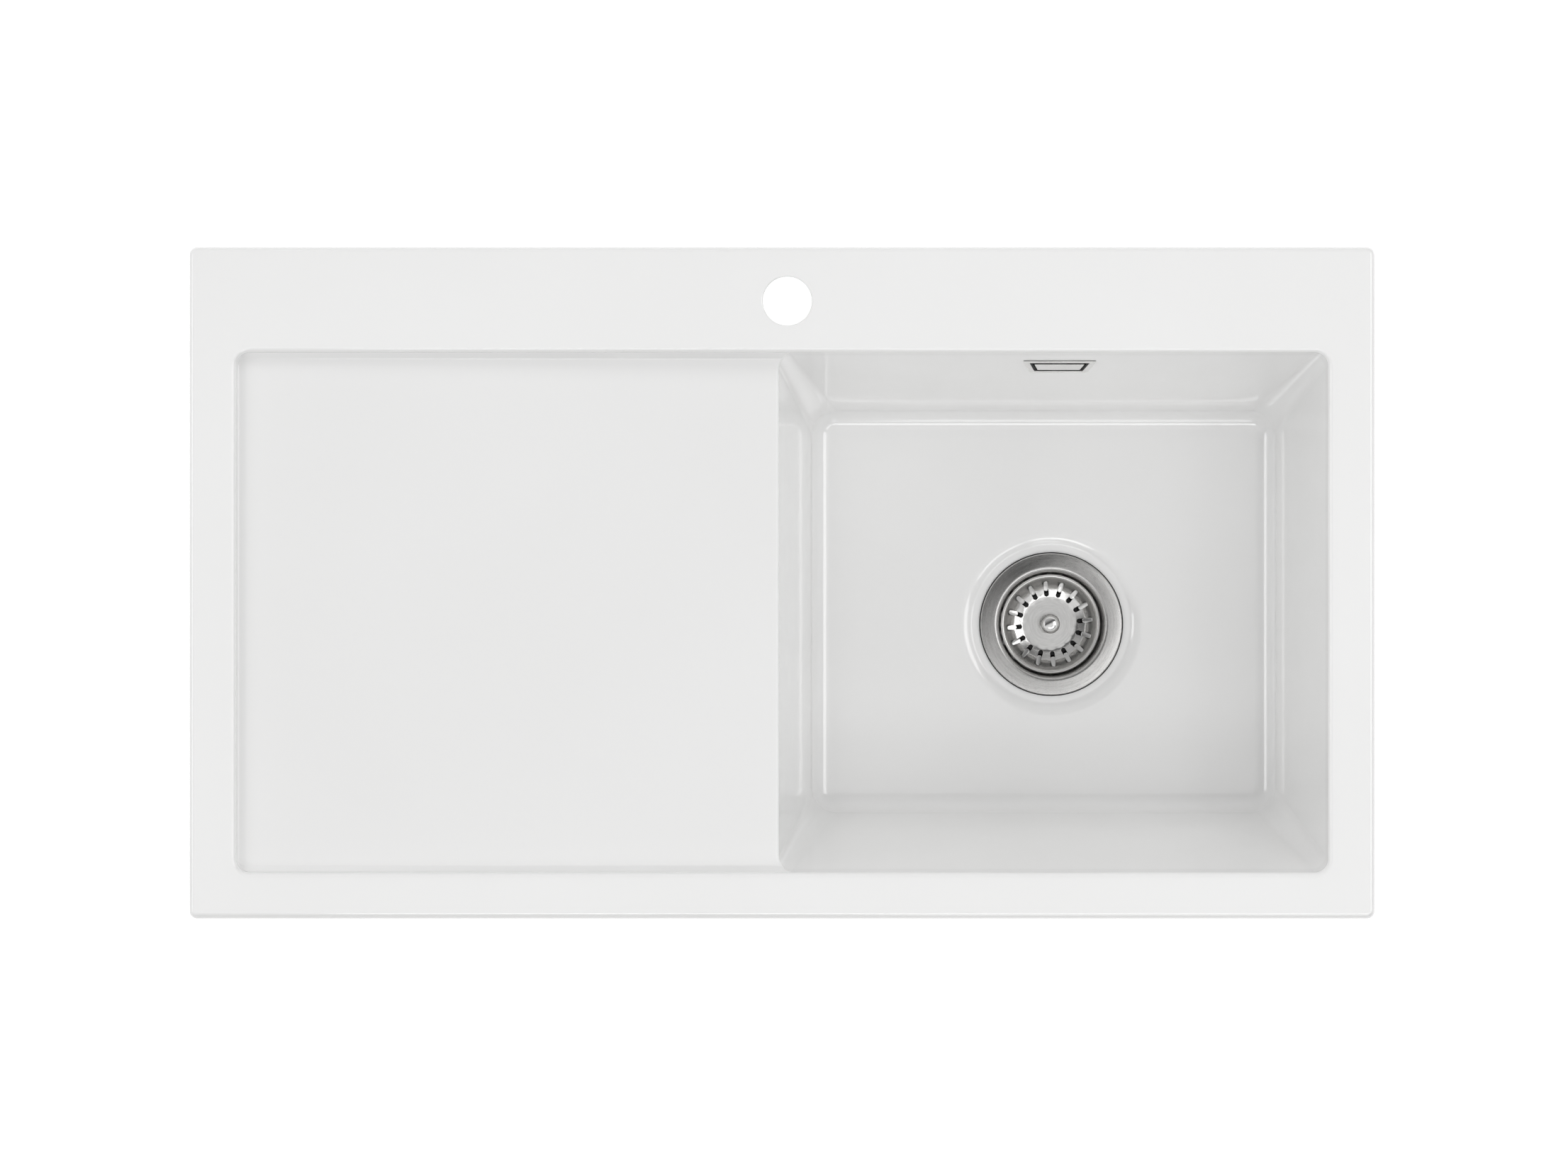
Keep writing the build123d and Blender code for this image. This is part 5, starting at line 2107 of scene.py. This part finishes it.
@dataclass
class Studio:
    """Camera, lamps, floor and surroundings."""

    camera: tuple[float, float, float] = (0.0015, -0.0038, 5.012)
    lens: float = 151.3
    floor_z: float = -0.2935
    floor_size: float = 200.0
    floor_shade: float = 0.6
    floor_glow: float = 0.75
    aim: tuple[float, float, float] = (0.0, 0.0, -0.05)
    bright_side: tuple[float, float] = (0.42, -0.907)
    levels: tuple[tuple[float, float], ...] = (
        (-1.0, 0.446),
        (-0.55, 0.407),
        (-0.32, 0.146),
        (-0.16, 0.049),
        (-0.03, 0.524),
        (0.12, 0.834),
        (0.32, 0.718),
        (0.55, 0.388),
        (1.0, 0.31),
    )
    lamps: tuple[Lamp, ...] = (
        Lamp("right_softbox", (1.9, 0.2, 2.3), 1.4, 1.0, 9.5),
        Lamp("corner_softbox", (1.3, -1.24, 2.34), 1.1, 0.5, 4.2),
        Lamp("front_softbox", (0.5, -2.5, 1.7), 0.8, 0.8, 3.6),
        Lamp("high_softbox", (0.1, -1.75, 2.5), 1.3, 0.55, 7.0),
        Lamp("left_softbox", (-2.3, 0.0, 1.6), 0.8, 0.9, 5.8),
        Lamp("left_fill", (-2.7, 0.2, 1.35), 2.4, 0.9, 16.4, mirrored=False),
        Lamp("right_fill", (2.7, 0.2, 1.35), 2.4, 0.9, 7.0, mirrored=False),
        Lamp("back_fill", (0.2, 2.7, 1.35), 2.4, 0.9, 22.5, mirrored=False),
        Lamp("top_fill", (0.0, 0.0, 3.6), 2.6, 2.2, 13.0, mirrored=False),
    )

    def build(self) -> None:
        """Sets up everything that isn't part of the sink."""
        scene = bpy.context.scene
        scene.view_settings.view_transform = "Standard"
        self.build_camera(scene)
        self.build_floor()
        self.build_world(scene)
        for lamp in self.lamps:
            lamp.add(self.aim)

    def build_camera(self, scene: bpy.types.Scene) -> None:
        """Puts the camera straight above the sink."""
        data = bpy.data.cameras.new("camera")
        data.lens = self.lens
        data.sensor_width = 36.0
        data.clip_end = 100.0
        made = bpy.data.objects.new("camera", data)
        made.location = self.camera
        scene.collection.objects.link(made)
        scene.camera = made

    def build_floor(self) -> None:
        """Lays the pale floor, which is white to the eye and keeps the sink's shadow."""
        half = self.floor_size / 2
        data = bpy.data.meshes.new("floor")
        corners = [(-half, -half, self.floor_z), (half, -half, self.floor_z), (half, half, self.floor_z)]
        data.from_pydata([*corners, (-half, half, self.floor_z)], [], [(0, 1, 2, 3)])
        material = bpy.data.materials.new("pale_floor")
        material.use_nodes = True
        sheet = NodeSheet(material.node_tree)
        diffuse = sheet.add("ShaderNodeBsdfDiffuse")
        diffuse.inputs["Color"].default_value = (self.floor_shade, self.floor_shade, self.floor_shade, 1)
        glow = sheet.add("ShaderNodeEmission")
        both = sheet.add("ShaderNodeAddShader")
        path = sheet.add("ShaderNodeLightPath")
        seen = sheet.math("MAXIMUM", path.outputs["Is Camera Ray"], path.outputs["Is Glossy Ray"])
        seen = sheet.math("MAXIMUM", seen, path.outputs["Is Transmission Ray"])
        sheet.link(sheet.math("MULTIPLY", seen, self.floor_glow), glow.inputs["Strength"])
        sheet.link(diffuse.outputs[0], both.inputs[0])
        sheet.link(glow.outputs[0], both.inputs[1])
        output = sheet.add("ShaderNodeOutputMaterial")
        sheet.link(both.outputs[0], output.inputs[0])
        data.materials.append(material)
        made = bpy.data.objects.new("floor", data)
        bpy.context.scene.collection.objects.link(made)
        made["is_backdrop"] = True

    def build_world(self, scene: bpy.types.Scene) -> None:
        """Fills the surroundings with light that is brighter in front and on the right."""
        world = bpy.data.worlds.new("studio")
        scene.world = world
        world.use_nodes = True
        sheet = NodeSheet(world.node_tree)
        parts = sheet.add("ShaderNodeSeparateXYZ")
        sheet.link(sheet.add("ShaderNodeTexCoord").outputs["Generated"], parts.inputs[0])
        toward = sheet.math(
            "ADD",
            sheet.math("MULTIPLY", parts.outputs[0], self.bright_side[0]),
            sheet.math("MULTIPLY", parts.outputs[1], self.bright_side[1]),
        )
        ramp = sheet.add("ShaderNodeValToRGB")
        stops = ramp.color_ramp.elements
        while len(stops) < len(self.levels):
            stops.new(1.0)
        for stop, (lean, level) in zip(stops, self.levels):
            stop.position = (lean + 1.0) / 2
            stop.color = (level, level, level, 1.0)
        sheet.link(sheet.math("ADD", sheet.math("MULTIPLY", toward, 0.5), 0.5), ramp.inputs[0])
        back = sheet.add("ShaderNodeBackground")
        sheet.link(ramp.outputs[0], back.inputs["Color"])
        output = sheet.add("ShaderNodeOutputWorld")
        sheet.link(back.outputs[0], output.inputs[0])


@dataclass(frozen=True)
class CarriedNodes:
    """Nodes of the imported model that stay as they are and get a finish."""

    rubber: tuple[str, ...] = (
        "body_gasket",
        "screw_washer",
        "basket_seal",
        "overflow_rear_gasket",
        "pipe_seal_upper",
        "pipe_seal_lower",
    )
    polished: tuple[str, ...] = (
        "clamp_screw",
        "stem_clip",
        "basket_stem",
        "seal_washer",
        "stem_nut",
        "overflow_screw",
    )
    white: tuple[str, ...] = ("waste_body", "pipe_nut_upper", "pipe_nut_lower")
    black: tuple[str, ...] = ("overflow_housing",)
    pipe: tuple[str, ...] = ("overflow_pipe",)
    brass: tuple[str, ...] = ("screw_insert",)

    def dress(self, nodes: dict[str, bpy.types.Object], finishes: dict[Slot, bpy.types.Material]) -> None:
        """Gives each carried node its finish.

        Args:
            nodes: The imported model's objects by name.
            finishes: Material of each slot.
        """
        groups = (
            (self.rubber, Slot.RUBBER),
            (self.polished, Slot.POLISHED),
            (self.white, Slot.WHITE_PLASTIC),
            (self.black, Slot.BLACK_PLASTIC),
            (self.pipe, Slot.PIPE_PLASTIC),
            (self.brass, Slot.BRASS),
        )
        for names, slot in groups:
            for name in names:
                for holder in nodes[name].material_slots:
                    holder.material = finishes[slot]
                LOG.info("%s keeps its shape and gets %s", name, finishes[slot].name)


def make_finishes(strainer: Strainer) -> dict[Slot, bpy.types.Material]:
    """Builds one material for each slot.

    Args:
        strainer: The strainer, whose axis the steel is brushed about.

    Returns:
        The materials by slot.
    """
    x, y = strainer.x, strainer.y
    return {
        Slot.CERAMIC: Glaze().make(),
        Slot.BRUSHED: RingBrushedSteel("ring_brushed_steel", x, y).make(),
        Slot.SATIN: RingBrushedSteel(
            "satin_steel",
            x,
            y,
            dark=(0.77, 0.764, 0.754),
            light=(0.87, 0.864, 0.853),
            smooth=0.14,
            coarse=0.24,
            relief=0.002,
            anisotropic=0.4,
            # painted shade on the basket's wall
            painted_shade=strainer.painted_wall_shade(),
        ).make(),
        Slot.POLISHED: MirrorSteel().make(),
        Slot.RUBBER: Rubber().make(),
        Slot.WHITE_PLASTIC: MouldedPlastic("white_moulding", (0.72, 0.72, 0.70), (0.80, 0.80, 0.785)).make(),
        Slot.PIPE_PLASTIC: MouldedPlastic(
            "pipe_moulding", (0.66, 0.665, 0.66), (0.74, 0.745, 0.74), 0.28, 0.42, 0.006
        ).make(),
        Slot.BLACK_PLASTIC: MouldedPlastic(
            "black_moulding", (0.016, 0.016, 0.017), (0.034, 0.034, 0.036)
        ).make(),
        Slot.BRASS: TurnedBrass("turned_brass", x, y).make(),
    }


def main() -> None:
    """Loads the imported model, builds every piece round it and sets up the studio."""
    logging.basicConfig(level=logging.INFO, format="%(name)s: %(message)s")
    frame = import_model()
    cad_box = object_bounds()
    rings, rows = ring_repeat(), row_repeat()
    strainer = Strainer()
    finishes = make_finishes(strainer)
    basin = CeramicBasin()
    basin.build(finishes[Slot.CERAMIC], BareClay().make())
    basin.build_ribs(rows, finishes[Slot.CERAMIC])
    strainer.build_cup(rings, finishes[Slot.BRUSHED])
    strainer.build_basket(rings, finishes[Slot.SATIN])
    strainer.build_strips(rings, finishes[Slot.SATIN])
    strainer.build_knob(finishes[Slot.POLISHED])
    strainer.build_seal(finishes[Slot.RUBBER])
    cover = OverflowCover()
    frame_steel = LineBrushedSteel("frame_steel", (0.70, 0.695, 0.685), (0.82, 0.815, 0.805))
    # the black finish on the frame's bar and the plate's edge and back is painted shade for the overflow's
    # gap
    cover.build_frame(frame_steel.make(), finishes[Slot.BLACK_PLASTIC])
    plate_steel = LineBrushedSteel("plate_steel", (0.66, 0.655, 0.645), (0.78, 0.775, 0.765), 0.14, 0.22)
    cover.build_plate(plate_steel.make(), finishes[Slot.BLACK_PLASTIC])
    cover.build_gasket(finishes[Slot.RUBBER])
    WasteWorks().build_webs(rings, finishes[Slot.WHITE_PLASTIC])
    CarriedNodes().dress(frame["nodes"], finishes)
    Studio().build()
    visual_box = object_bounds()
    boxes = {"cad": cad_box, "visual": visual_box}
    {key: [list(corner) for corner in box] for key, box in boxes.items()}


if __name__ == "__main__":
    main()
